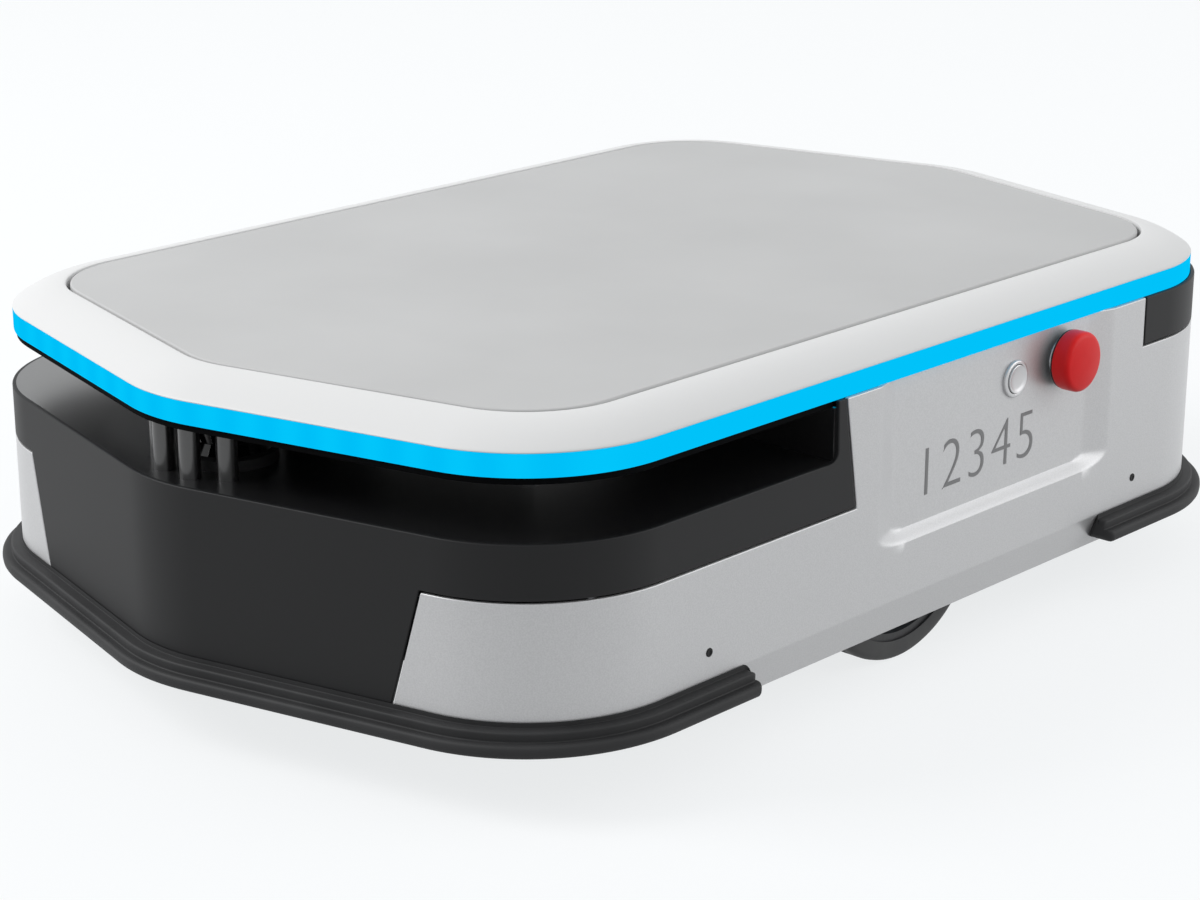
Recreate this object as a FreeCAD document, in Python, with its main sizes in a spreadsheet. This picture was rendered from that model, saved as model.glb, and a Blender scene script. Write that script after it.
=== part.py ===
import FreeCAD
import Part
import math
import os
import re
import Sketcher

# Low autonomous mobile robot for carrying loads: a tub-shaped body on two sprung drive
# wheels and four casters, with a lifting load plate on top. Millimetres, +Z up from the
# floor, front towards -Y, controls on the +X side. The plan is a long rounded hexagon:
# straight sides, and a shallow nose at each end.

document = FreeCAD.newDocument("mobile_robot")

SIZES = [
    # plan outline, measured on the light strip
    ("half_width", 328, "half the width over the straight sides"),
    ("side_straight", 316, "half the length of the straight sides"),
    ("corner_radius", 125, "plan radius of the four corners"),
    ("nose_tip", 491, "centre to the tip of the rounded nose"),
    ("nose_radius", 140, "plan radius of the two noses"),
    # body shell
    ("body_step", 4, "body shell outside the light strip"),
    ("wall", 3, "thickness of panels and covers"),
    ("body_bottom", 38, "ground clearance"),
    ("bevel_height", 31.5, "height of the bevel round the foot of the body"),
    ("bevel_inset", 12, "how far the bevel leans in"),
    ("seam_gap", 1.5, "open seam between panels and covers"),
    # deck
    ("deck_low", 245, "underside of the light strip"),
    ("light_height", 17, "height of the light strip"),
    ("light_depth", 14, "thickness of the light strip"),
    ("bezel_rise", 17, "height of the sloping bezel"),
    ("bezel_width", 45, "width of the bezel in plan"),
    ("bezel_crown", 4, "how far the bezel bulges over a straight slope"),
    ("trim_inset", 2, "deck trim inside the light strip"),
    ("trim_height", 5, "thickness of the deck trim"),
    ("frame_inset", 62, "light strip to the inner edge of the deck frame"),
    ("deck_sheet", 4, "thickness of the deck floor"),
    ("deck_rest", 0.5, "top of the panels to the light strip"),
    ("plate_gap", 1.2, "gap between the bezel and the load plate"),
    ("plate_skin", 4, "thickness of the load plate's top"),
    ("plate_flange", 6, "width of the load plate's flange"),
    ("plate_lift_gap", 1, "load plate above the deck frame when down"),
    # front cover and scanner slot
    ("band_low", 158, "lower edge of the front cover's band"),
    ("slot_low", 199, "lower edge of the scanner slot"),
    ("slot_end", 123, "slot's rear end, forward of centre"),
    ("slot_lean", 1, "lean of the slot's rear end"),
    ("slot_corner", 6, "chamfer of the slot's lower corner"),
    ("cover_end", 101, "front cover's rear edge at its foot, forward of centre"),
    ("cover_lean", 14, "lean of the front cover's rear edge"),
    ("apron_low", 191, "half width of the front apron at its foot"),
    ("apron_high", 224, "half width of the front apron at its top"),
    ("slot_depth", 120, "depth of the scanner slot"),
    # rear cover
    ("rear_low", 205, "lower edge of the rear cover's band"),
    ("rear_end", 281, "rear cover's side edge, behind centre"),
    ("rear_apron", 236, "half width of the rear apron at its top"),
    # bumpers
    ("bumper_low", 47.5, "underside of the bumpers"),
    ("bumper_height", 18, "height of the bumpers"),
    ("bumper_reach", 21, "bumper outside the light strip"),
    ("bumper_end", 225, "bumper's side ends from centre"),
    ("bumper_lip", 6, "height of the lip along the bumper's top"),
    ("bumper_round", 4.5, "rounding of the bumper's edges"),
    ("carrier_depth", 6, "depth of the bumper carrier"),
    ("carrier_height", 9, "height of the bumper carrier"),
    ("carrier_up", 4, "carrier above the bumper's underside"),
    ("lip_inset", 6.5, "bumper's lip inside its face"),
    # side recess and controls
    ("recess_front", 74, "recess's front edge, forward of centre"),
    ("recess_rear", 234, "recess's rear edge, behind centre"),
    ("recess_low", 115, "recess's lower edge"),
    ("recess_depth", 8, "depth of the recess"),
    ("recess_round", 22, "rounding of the recess's lower corners"),
    ("stop_back", 169, "emergency stop, behind centre"),
    ("stop_up", 215.5, "height of the emergency stop"),
    ("stop_radius", 23.5, "radius of the emergency stop's head"),
    ("stop_travel", 4, "travel of the emergency stop"),
    ("stop_base_height", 4, "thickness of the emergency stop's base ring"),
    ("stop_head_height", 13, "thickness of the emergency stop's head"),
    ("stop_plunger", 6, "radius of the emergency stop's plunger"),
    ("stop_barrel", 36, "length of the emergency stop behind its base ring"),
    ("button_back", 107, "power button, behind centre"),
    ("button_up", 211.5, "height of the power button"),
    ("button_radius", 12, "radius of the power button"),
    ("button_travel", 1.5, "travel of the power button"),
    ("button_gap", 0.3, "gap round the power button"),
    ("ring_height", 3, "thickness of the power button's ring"),
    ("ring_width", 3.5, "width of the power button's ring"),
    ("button_barrel", 16, "length of the power button behind its ring"),
    ("panel_screw_back", 270, "panel screws from centre"),
    ("panel_screw_up", 90, "height of the panel screws"),
    ("panel_screw_radius", 3, "radius of the panel screws' holes"),
    # chassis
    ("base_thickness", 6, "thickness of the base plate"),
    ("base_side_gap", 2, "base plate inside the suspension arms"),
    ("base_gap", 5.5, "base plate to the casters' sweep"),
    ("caster_height", 100, "floor to the top of a caster's plate"),
    ("caster_deck", 4, "thickness of the raised caster decks"),
    ("post_side", 20, "side of the square posts"),
    ("mid_post_x", 150, "middle posts from centre"),
    ("mid_post_y", 150, "middle posts from centre, lengthwise"),
    ("end_post_x", 100, "end posts from centre"),
    ("end_post_y", 320, "end posts from centre, lengthwise"),
    # drive
    ("wheel_radius", 100, "radius of the drive wheels"),
    ("wheel_width", 50, "width of the drive wheels"),
    ("wheel_inset", 25, "outer face of the drive wheels inside the light strip"),
    ("tread_depth", 16, "thickness of the tyre"),
    ("tyre_round", 5, "rounding of the tyre's shoulders"),
    ("hub_inset", 2, "hub's rims inside the tyre"),
    ("hub_dish", 14, "depth of the hub's inner dish"),
    ("hub_face", 10, "depth of the hub's outer dish"),
    ("hub_boss", 14, "width of the hub's boss round the axle"),
    ("rim_wall", 6, "thickness of the hub's rim"),
    ("axle_radius", 12.5, "radius of the drive axle"),
    ("arm_gap", 15, "suspension arm to the drive wheel"),
    ("arm_thickness", 12, "thickness of the suspension arm"),
    ("pivot_front", 135, "arm pivot, forward of centre"),
    ("pivot_up", 90, "height of the arm pivot"),
    ("pivot_radius", 10, "radius of the pivot pin"),
    ("pivot_boss", 24, "half height of the arm round its pivot"),
    ("pivot_corner", 10, "chamfer of the arm's front end"),
    ("pin_head", 4, "pin's head outside the pin, and its thickness"),
    ("pin_gap", 1, "pin's head to the arm"),
    ("arm_margin", 4, "arm outside the gearbox and the spring"),
    ("hub_window", 8, "arm's window outside the axle"),
    ("bracket_depth", 20, "thickness of the brackets' posts"),
    ("bracket_gap", 6, "brackets' posts to the arm"),
    ("bracket_half", 16, "half width of the pivot posts"),
    ("gallows_half", 13, "half width of the arms over the springs"),
    ("gallows_height", 5, "thickness of the arms over the springs"),
    ("axle_reach", 22, "depth of the axle in the gearbox"),
    ("gear_radius", 40, "radius of the drive gearbox"),
    ("gear_length", 70, "length of the drive gearbox"),
    ("motor_side", 70, "side of the square drive motor"),
    ("motor_length", 60, "length of the drive motor"),
    ("spring_back", 120, "suspension spring, behind centre"),
    ("spring_low", 124, "seat of the suspension spring"),
    ("seat_depth", 6, "depth of the seat in the arm"),
    ("spring_height", 50, "height of the suspension spring"),
    ("spring_radius", 11, "radius of the suspension spring"),
    # lift
    ("lift_travel", 60, "travel of the load plate"),
    ("screw_inset", 158, "lift screws inside the light strip"),
    ("screw_y", 225, "lift screws from centre, lengthwise"),
    ("screw_radius", 10, "radius of the lift screws"),
    ("leg_radius", 22, "outer radius of the lift legs"),
    ("leg_wall", 7, "wall of the lift legs"),
    ("nut_height", 22, "height of the lift nuts in the legs"),
    ("nut_flange", 5, "thickness of the lift nuts' flanges"),
    ("nut_rest", 3, "pulleys to the lift nuts when down"),
    ("leg_foot", 14, "width of the flange that joins a leg to the load plate"),
    ("screw_spare", 15, "screws above the nuts when raised"),
    ("collar_width", 4, "width of the screws' collars"),
    ("collar_height", 5, "height of the screws' collars"),
    ("bearing_radius", 24, "radius of the screw bearings"),
    ("bearing_height", 20, "height of the screw bearings"),
    ("bearing_flange", 6, "width and thickness of the bearings' flanges"),
    ("bush_wall", 6, "wall of the guide bushes"),
    ("bush_height", 24, "height of the guide bushes"),
    ("bush_flange", 6, "width of the guide bushes' flanges"),
    ("bush_rim", 3, "thickness of the guide bushes' flanges"),
    ("pulley_radius", 23.5, "radius of the belt pulleys"),
    ("pulley_height", 12, "height of the belt pulleys"),
    ("belt_low", 150, "underside of the pulleys"),
    ("belt_thickness", 2, "thickness of the belt"),
    ("lift_motor_radius", 27, "radius of the lift motor"),
    ("lift_motor_gap", 4, "lift motor to the caster deck's flange"),
    ("lift_motor_top", 8, "lift motor to its pulley"),
    ("lift_shaft", 5, "radius of the lift motor's shaft"),
    ("shaft_depth", 22, "depth of the shaft in the lift motor"),
    # casters
    ("caster_inset", 108, "casters inside the light strip"),
    ("caster_y", 345, "casters from centre, lengthwise"),
    ("caster_radius", 37.5, "radius of the caster wheels"),
    ("caster_width", 26, "width of the caster wheels"),
    ("caster_trail", 25, "caster wheel behind its swivel"),
    ("caster_axle", 5, "radius of the caster axles"),
    ("fork_wall", 4, "thickness of the caster forks"),
    ("fork_gap", 2, "gap beside the caster wheels"),
    ("fork_half", 24, "half length of the forks at the top"),
    ("fork_end", 10, "half length of the forks at the axle"),
    ("fork_crown", 5, "thickness of the forks at the top"),
    ("caster_plate", 5, "thickness of the casters' plates"),
    ("plate_radius", 38, "radius of the casters' plates"),
    ("stem_radius", 8, "radius of the casters' stems"),
    ("tread_round", 4, "chamfer of the casters' treads"),
    ("tread_height", 9, "thickness of the casters' treads"),
    # scanner
    ("scanner_front", 424, "scanner, forward of centre"),
    ("scanner_radius", 36, "radius of the scanner"),
    ("guard_ring", 51, "radius on which the guard posts stand"),
    ("guard_radius", 8, "radius of the guard posts"),
    ("guard_inner", 17, "angle of the inner guard posts, in degrees"),
    ("guard_outer", 49, "angle of the outer guard posts, in degrees"),
    ("scanner_foot", 10, "height of the scanner's base"),
    ("scanner_glass", 20, "height of the scanner's window"),
    ("scanner_waist", 8, "how far the window is waisted in"),
    ("scanner_shell", 4, "thickness of the scanner's window at its foot"),
    # power
    ("battery_half", 130, "half width of the battery"),
    ("battery_length", 138, "length of the battery"),
    ("battery_height", 86, "height of the battery"),
    ("bay_gap", 7, "battery to the lift motor"),
    ("control_half", 110, "half width of the controller"),
    ("control_length", 138, "length of the controller"),
    ("control_height", 72, "height of the controller"),
    ("charge_low", 104, "underside of the charging block"),
    ("charge_height", 46, "height of the charging block"),
    ("charge_half", 66, "half width of the charging block"),
    ("charge_window", 54, "half width of the charging window"),
    ("charge_rim", 8, "charging window inside the block's height"),
    ("charge_depth", 47, "depth of the charging block"),
    ("charge_inset", 13, "charging block inside the nose tip"),
    ("contact_reach", 10, "charging contacts outside the block"),
    ("contact_inner", 14, "inner edge of the charging contacts"),
    ("contact_outer", 44, "outer edge of the charging contacts"),
    ("contact_half", 9, "half height of the charging contacts"),
    # fits
    ("running_gap", 0.05, "radial clearance of running fits"),
    ("clear_gap", 0.3, "clearance between parts that only pass"),
    ("edge", 2, "small chamfers"),
]

sheet = document.addObject("Spreadsheet::Sheet", "Sizes")
for row, (alias, number, note) in enumerate(SIZES, start=1):
    sheet.set("A%d" % row, note)
    sheet.set("B%d" % row, str(number))
    sheet.setAlias("B%d" % row, alias)
document.recompute()

NAMES = {alias for alias, number, note in SIZES}
NODES = []
X_AXIS = FreeCAD.Vector(1, 0, 0)
Y_AXIS = FreeCAD.Vector(0, 1, 0)
Z_AXIS = FreeCAD.Vector(0, 0, 1)
# A sketch's own x and y run along these row axes; its normal is X, -Y or Z.
PLANES = {
    "YZ": FreeCAD.Rotation(FreeCAD.Vector(1, 1, 1), 120),
    "XZ": FreeCAD.Rotation(X_AXIS, 90),
    "XY": FreeCAD.Rotation(),
}
NORMALS = {"YZ": ("x", X_AXIS), "XZ": ("y", Y_AXIS), "XY": ("z", Z_AXIS)}


# ---------------------------------------------------------------- helpers


def formula(text):
    """The text as an expression in which each size is read from the sheet."""
    return re.sub("[a-z][a-z_]*", lambda word: sized(word.group()), str(text))


def sized(word):
    """A size's name with the sheet's in front of it; any other word as it is."""
    return "Sizes." + word if word in NAMES else word


def value(text):
    """The formula's number in millimetres."""
    return float(sheet.evalExpression(formula(text)))


def bind(item, name, text):
    """Tie one property of an object to the sheet."""
    item.setExpression(name, formula(text))


def place(item, x, y, z):
    """Tie an object's position to the sheet."""
    for letter, text in (("x", x), ("y", y), ("z", z)):
        bind(item, "Placement.Base." + letter, text)


def keep(item, node):
    """Name a finished piece; its label is its node's and its file's name."""
    item.Label = node
    NODES.append(item)
    return item


def pin_point(sketch, geometry, point, x, y):
    """Hold one point of a sketch at a place tied to the sheet."""
    for kind, text in (("DistanceX", x), ("DistanceY", y)):
        rule = Sketcher.Constraint(kind, -1, 1, geometry, point, value(text))
        number = sketch.addConstraint(rule)
        bind(sketch, "Constraints[%d]" % number, text)


def draw_polygon(sketch, points):
    """A closed polygon whose corners are tied to the sheet."""
    first = sketch.GeometryCount
    corners = [FreeCAD.Vector(value(x), value(y), 0) for x, y in points]
    count = len(corners)
    for step in range(count):
        sketch.addGeometry(Part.LineSegment(corners[step], corners[(step + 1) % count]), False)
    for step in range(count):
        following = first + (step + 1) % count
        sketch.addConstraint(Sketcher.Constraint("Coincident", first + step, 2, following, 1))
    for step, (x, y) in enumerate(points):
        pin_point(sketch, first + step, 1, x, y)


def draw_recess(sketch, spread):
    """The recess's outline moved outwards by spread: open at the top, with round corners.

    Every spread keeps the same arc centres, so only the radius changes.
    """
    radius = "recess_round - recess_depth + (%s)" % spread
    front = "recess_round - recess_front"
    rear = "recess_rear - recess_round"
    level = "recess_low + recess_round"
    sides = ("%s - (%s)" % (front, radius), "%s + (%s)" % (rear, radius))
    top = value("deck_low + recess_round")
    low = value(level) - value(radius)
    ends = [value(side) for side in sides]
    centres = [FreeCAD.Vector(value(place), value(level), 0) for place in (front, rear)]
    quarter = math.pi / 2
    drawn = [
        Part.LineSegment(FreeCAD.Vector(ends[0], top, 0), FreeCAD.Vector(ends[0], centres[0].y, 0)),
        Part.ArcOfCircle(Part.Circle(centres[0], Z_AXIS, value(radius)), 2 * quarter, 3 * quarter),
        Part.LineSegment(FreeCAD.Vector(centres[0].x, low, 0), FreeCAD.Vector(centres[1].x, low, 0)),
        Part.ArcOfCircle(Part.Circle(centres[1], Z_AXIS, value(radius)), 3 * quarter, 4 * quarter),
        Part.LineSegment(FreeCAD.Vector(ends[1], centres[1].y, 0), FreeCAD.Vector(ends[1], top, 0)),
        Part.LineSegment(FreeCAD.Vector(ends[1], top, 0), FreeCAD.Vector(ends[0], top, 0)),
    ]
    for geometry in drawn:
        sketch.addGeometry(geometry, False)
    for step in range(4):
        sketch.addConstraint(Sketcher.Constraint("Tangent", step, 2, step + 1, 1))
    for step in (4, 5):
        sketch.addConstraint(Sketcher.Constraint("Coincident", step, 2, (step + 1) % 6, 1))
    for geometry, along in ((1, front), (3, rear)):
        pin_point(sketch, geometry, 3, along, level)
    rule = Sketcher.Constraint("Radius", 1, value(radius))
    bind(sketch, "Constraints[%d]" % sketch.addConstraint(rule), radius)
    sketch.addConstraint(Sketcher.Constraint("Equal", 1, 3))
    for geometry, side in ((0, sides[0]), (5, sides[1])):
        pin_point(sketch, geometry, 1, side, "deck_low + recess_round")


def draw_plan(sketch, offset):
    """The plan outline moved inwards by offset: six straights joined by six tangent arcs.

    Every offset keeps the same arc centres, so only the two radii change.
    """
    first = sketch.GeometryCount
    corner = ("half_width - corner_radius", "side_straight")
    nose = "nose_tip - nose_radius"
    radii = ("corner_radius - (%s)" % offset, "nose_radius - (%s)" % offset)
    across, along = value(corner[0]), value(corner[1])
    reach = value(nose)
    lean = math.asin((value("nose_radius - corner_radius")) / math.hypot(across, reach - along))
    lean += math.atan2(reach - along, across)
    quarter = math.pi / 2
    arcs = [
        (corner[0], corner[1], 0, 0, quarter - lean),
        ("0", nose, 1, quarter - lean, quarter + lean),
        ("-(%s)" % corner[0], corner[1], 0, quarter + lean, 2 * quarter),
        ("-(%s)" % corner[0], "-" + corner[1], 0, 2 * quarter, 3 * quarter - lean),
        ("0", "-(%s)" % nose, 1, 3 * quarter - lean, 3 * quarter + lean),
        (corner[0], "-" + corner[1], 0, 3 * quarter + lean, 4 * quarter),
    ]
    drawn = []
    for x, y, kind, start, end in arcs:
        circle = Part.Circle(FreeCAD.Vector(value(x), value(y), 0), Z_AXIS, value(radii[kind]))
        drawn.append(Part.ArcOfCircle(circle, start, end))
    for step, arc in enumerate(drawn):
        sketch.addGeometry(arc, False)
        line = Part.LineSegment(arc.EndPoint, drawn[(step + 1) % 6].StartPoint)
        sketch.addGeometry(line, False)
    for step in range(12):
        following = first + (step + 1) % 12
        sketch.addConstraint(Sketcher.Constraint("Tangent", first + step, 2, following, 1))
    for step, (x, y, kind, start, end) in enumerate(arcs):
        geometry = first + 2 * step
        pin_point(sketch, geometry, 3, x, y)
        if step < 2:
            rule = Sketcher.Constraint("Radius", geometry, value(radii[kind]))
            bind(sketch, "Constraints[%d]" % sketch.addConstraint(rule), radii[kind])
        else:
            sketch.addConstraint(Sketcher.Constraint("Equal", first + 2 * kind, geometry))


def new_sketch(name, plane, at):
    """An empty sketch in a plane at a place along that plane's normal axis."""
    sketch = document.addObject("Sketcher::SketchObject", name)
    sketch.Placement = FreeCAD.Placement(FreeCAD.Vector(), PLANES[plane])
    bind(sketch, "Placement.Base." + NORMALS[plane][0], at)
    return sketch


def extruded(name, sketch, plane, length):
    """A solid pushed from the sketch along +X, +Y or +Z."""
    solid = document.addObject("Part::Extrusion", name)
    solid.Base = sketch
    solid.DirMode = "Custom"
    solid.Dir = NORMALS[plane][1]
    solid.Solid = True
    bind(solid, "LengthFwd", length)
    return solid


def polygon_prism(name, plane, low, high, points):
    """A polygon in a plane pushed from low to high along the plane's normal axis."""
    sketch = new_sketch(name + "_sketch", plane, low)
    draw_polygon(sketch, points)
    return extruded(name, sketch, plane, "(%s) - (%s)" % (high, low))


def plan_prism(name, offsets, low, high):
    """The plan outline, or a ring between two of its offsets, from low to high."""
    sketch = new_sketch(name + "_sketch", "XY", low)
    for offset in offsets:
        draw_plan(sketch, offset)
    return extruded(name, sketch, "XY", "(%s) - (%s)" % (high, low))


def plan_loft(name, levels):
    """A solid through plan outlines at several heights, straight from each to the next."""
    sections = []
    for step, (offset, height) in enumerate(levels):
        sketch = new_sketch("%s_level_%d" % (name, step), "XY", height)
        draw_plan(sketch, offset)
        sections.append(sketch)
    solid = document.addObject("Part::Loft", name)
    solid.Sections = sections
    solid.Solid = True
    solid.Ruled = True
    return solid


def block(name, x, y, z):
    """A box between the two places given on each axis."""
    solid = document.addObject("Part::Box", name)
    for side, (low, high) in zip(("Length", "Width", "Height"), (x, y, z)):
        bind(solid, side, "(%s) - (%s)" % (high, low))
    place(solid, x[0], y[0], z[0])
    return solid


def rod(name, axis, centre, low, high, radius):
    """A cylinder along an axis, from low to high; centre gives its other two places."""
    solid = document.addObject("Part::Cylinder", name)
    bind(solid, "Radius", radius)
    bind(solid, "Height", "(%s) - (%s)" % (high, low))
    turns = {
        "X": FreeCAD.Rotation(Y_AXIS, 90),
        "Y": FreeCAD.Rotation(X_AXIS, -90),
        "Z": FreeCAD.Rotation(),
    }
    solid.Placement = FreeCAD.Placement(FreeCAD.Vector(), turns[axis])
    spots = {"X": (low,) + centre, "Y": (centre[0], low, centre[1]), "Z": centre + (low,)}
    place(solid, *spots[axis])
    return solid


def turned(name, axis, centre, points):
    """A solid of revolution about an axis; points are (place along the axis, radius)."""
    solid = document.addObject("Part::Revolution", name)
    plane, direction = {"X": ("XY", X_AXIS), "Z": ("XZ", Z_AXIS)}[axis]
    sketch = document.addObject("Sketcher::SketchObject", name + "_sketch")
    sketch.Placement = FreeCAD.Placement(FreeCAD.Vector(), PLANES[plane])
    if axis == "X":
        draw_polygon(sketch, points)
        place(sketch, "0", centre[0], centre[1])
    else:
        draw_polygon(sketch, [(radius, along) for along, radius in points])
        place(sketch, centre[0], centre[1], "0")
    solid.Source = sketch
    solid.Axis = direction
    bind(solid, "Base.x", "0" if axis == "X" else centre[0])
    bind(solid, "Base.y", centre[0] if axis == "X" else centre[1])
    bind(solid, "Base.z", centre[1] if axis == "X" else "0")
    solid.Angle = 360
    solid.Solid = True
    return solid


def fused(name, *shapes):
    """Shapes welded or moulded as one."""
    solid = document.addObject("Part::MultiFuse", name)
    solid.Shapes = list(shapes)
    solid.Refine = True
    return solid


def cut(name, base, *tools):
    """The base with the tools cut out of it."""
    solid = document.addObject("Part::Cut", name)
    solid.Base = base
    solid.Tool = tools[0] if len(tools) == 1 else fused(name + "_tools", *tools)
    solid.Refine = True
    return solid


def shared(name, *shapes):
    """What the shapes have in common."""
    solid = document.addObject("Part::MultiCommon", name)
    solid.Shapes = list(shapes)
    solid.Refine = True
    return solid


def group(name, *shapes):
    """Like pieces that stay separate solids."""
    solid = document.addObject("Part::Compound", name)
    solid.Links = list(shapes)
    return solid


def mirrored(name, source, normal):
    """The piece's mirror image across a plane through the centre."""
    solid = document.addObject("Part::Mirroring", name)
    solid.Source = source
    solid.Normal = normal
    return solid


# ---------------------------------------------------------------- body shell

# One folded shell, bevelled at the foot and open at top and bottom, from which the side
# panels and both covers are cut, so that their faces line up all round.
SHELL_TOP = "deck_low - deck_rest"
SHELL_IN = "wall - body_step"
BEVEL_TOP = "body_bottom + bevel_height"
FAR = "nose_tip + 60"

shell_body = fused(
    "shell_body",
    plan_loft(
        "shell_foot",
        [("bevel_inset - body_step", "body_bottom"), ("-body_step", BEVEL_TOP)],
    ),
    plan_prism("shell_upper", ["-body_step"], BEVEL_TOP, SHELL_TOP),
)
shell_hollow = fused(
    "shell_hollow",
    plan_loft(
        "hollow_foot",
        [("bevel_inset + wall - body_step", "body_bottom"), (SHELL_IN, BEVEL_TOP)],
    ),
    plan_prism("hollow_upper", [SHELL_IN], BEVEL_TOP, SHELL_TOP),
)
shell = cut("shell", shell_body, shell_hollow)

COVER_TOP = "deck_low - trim_height"


def front_zone(name, gap):
    """Where the front cover is, or with a gap, what the panels leave open for it."""
    lean = "cover_lean * (%s - band_low) / (deck_low - band_low)" % SHELL_TOP
    top = SHELL_TOP if gap != "0" else COVER_TOP
    band = polygon_prism(
        name + "_band",
        "YZ",
        "-(%s)" % FAR,
        FAR,
        [
            ("-(%s)" % FAR, "band_low - %s" % gap),
            ("-cover_end + %s" % gap, "band_low - %s" % gap),
            ("-cover_end - %s + %s" % (lean, gap), top),
            ("-(%s)" % FAR, top),
        ],
    )
    apron = polygon_prism(
        name + "_apron",
        "XZ",
        "-(%s)" % FAR,
        "-side_straight",
        [
            ("-apron_low - %s" % gap, "body_bottom - 1"),
            ("apron_low + %s" % gap, "body_bottom - 1"),
            ("apron_high + %s" % gap, "band_low + 1"),
            ("-apron_high - %s" % gap, "band_low + 1"),
        ],
    )
    return fused(name, band, apron)


def rear_zone(name, gap):
    """Where the rear cover is, or with a gap, what the panels leave open for it."""
    band = block(
        name + "_band",
        ("-(%s)" % FAR, FAR),
        ("rear_end - %s" % gap, FAR),
        ("rear_low - %s" % gap, SHELL_TOP if gap != "0" else COVER_TOP),
    )
    apron = polygon_prism(
        name + "_apron",
        "XZ",
        "side_straight",
        FAR,
        [
            ("-apron_low - %s" % gap, "body_bottom - 1"),
            ("apron_low + %s" % gap, "body_bottom - 1"),
            ("rear_apron + %s" % gap, "rear_low + 1"),
            ("-rear_apron - %s" % gap, "rear_low + 1"),
        ],
    )
    return fused(name, band, apron)


# Front cover: one black moulding round the nose. Its band carries the scanner slot, which
# opens forwards and to both sides, and an apron runs down to the bumper.
slot_opening = polygon_prism(
    "slot_opening",
    "YZ",
    "-(%s)" % FAR,
    FAR,
    [
        ("-(%s)" % FAR, "slot_low"),
        ("-slot_end - slot_corner", "slot_low"),
        ("-slot_end", "slot_low + slot_corner"),
        ("-slot_end - slot_lean", "deck_low"),
        ("-(%s)" % FAR, "deck_low"),
    ],
)
front_blank = shared("front_blank", shell, front_zone("front", "0"))
keep(cut("front_cover_cut", front_blank, slot_opening), "front_cover")

# Rear cover: a plain black moulding with a window for the charging contacts.
charge_window = block(
    "charge_window_tool",
    ("-charge_window", "charge_window"),
    ("side_straight", FAR),
    ("charge_low + charge_rim", "charge_low + charge_height - charge_rim"),
)
rear_blank = shared("rear_blank", shell, rear_zone("rear", "0"))
keep(cut("rear_cover_cut", rear_blank, charge_window), "rear_cover")

# Side panels: satin silver shells that wrap all four corners. Each has a shallow recess
# for the controls, with a sloping sill, pressed into the straight side.
PANEL_FACE = "half_width + body_step"
RECESS_FACE = "half_width + body_step - recess_depth"
recess_sketches = []
for level, spread in ((PANEL_FACE + " + edge", "recess_depth + edge"), (RECESS_FACE, "0")):
    recess_sketch = new_sketch("recess_level", "YZ", level)
    draw_recess(recess_sketch, spread)
    recess_sketches.append(recess_sketch)
recess_tool = document.addObject("Part::Loft", "recess_tool")
recess_tool.Sections = recess_sketches
recess_tool.Solid = True
recess_tool.Ruled = True

recess_backing = block(
    "recess_backing",
    (RECESS_FACE + " - wall", PANEL_FACE + " - wall / 2"),
    ("-recess_front - wall", "recess_rear + wall"),
    ("recess_low - wall", SHELL_TOP),
)
stop_hole = rod("stop_hole", "X", ("stop_back", "stop_up"), "0", FAR, "stop_radius / 2")
button_hole = rod("button_hole", "X", ("button_back", "button_up"), "0", FAR, "button_radius + button_gap")
screw_holes = []
for along in ("-panel_screw_back", "panel_screw_back"):
    spot = (along, "panel_screw_up")
    screw_holes.append(rod("panel_screw_hole", "X", spot, "0", FAR, "panel_screw_radius"))
right_half = block("right_half", ("seam_gap / 6", FAR), ("-(%s)" % FAR, FAR), ("0", "deck_low"))
right_shell = shared("right_shell", fused("right_blank", shell, recess_backing), right_half)
open_zones = [front_zone("front_open", "seam_gap"), rear_zone("rear_open", "seam_gap")]
panel_blank = cut("panel_blank", right_shell, recess_tool, stop_hole, *open_zones, *screw_holes)
keep(mirrored("panel_left", panel_blank, X_AXIS), "side_panel_left")
keep(cut("panel_right", panel_blank, button_hole), "side_panel_right")

# ---------------------------------------------------------------- deck

LIGHT_TOP = "deck_low + light_height"
DECK_TOP = "deck_low + light_height + bezel_rise"

# Light strip: a translucent ring that runs all round under the bezel.
keep(plan_prism("light_ring", ["0", "light_depth"], "deck_low", LIGHT_TOP), "light_strip")

# Deck trim: thin dark ring under the light strip, relieved beside the control recesses.
trim_ring = plan_prism("trim_ring", ["trim_inset", "frame_inset"], COVER_TOP, "deck_low")
relief = []
relief_span = ("-slot_end - slot_lean", "side_straight")
for across in (("half_width - light_depth", FAR), ("-(%s)" % FAR, "light_depth - half_width")):
    relief.append(block("trim_relief", across, relief_span, (COVER_TOP, "deck_low")))
keep(cut("trim_cut", trim_ring, *relief), "deck_trim")

# Deck frame: a ring inside the light strip that carries the bezel, with a floor welded in.
# The floor closes the deck below the load plate and holds the guide bushes.
frame_ring = plan_prism("frame_ring", ["light_depth", "frame_inset"], "deck_low", LIGHT_TOP)
floor_sheet = plan_prism("floor_sheet", ["frame_inset"], "deck_low", "deck_low + deck_sheet")

# Bezel: white ring that slopes up from the light strip to the load plate, slightly crowned.
bezel_solid = plan_loft(
    "bezel_solid",
    [
        ("0", LIGHT_TOP),
        ("bezel_width * 0.12", "deck_low + light_height + bezel_rise * 0.12 + bezel_crown * 0.7"),
        ("bezel_width / 2", "deck_low + light_height + bezel_rise / 2 + bezel_crown"),
        ("bezel_width", DECK_TOP),
    ],
)
bezel_inside = plan_prism("bezel_inside", ["bezel_width"], LIGHT_TOP, DECK_TOP)
keep(cut("bezel_cut", bezel_solid, bezel_inside), "deck_bezel")

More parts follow.
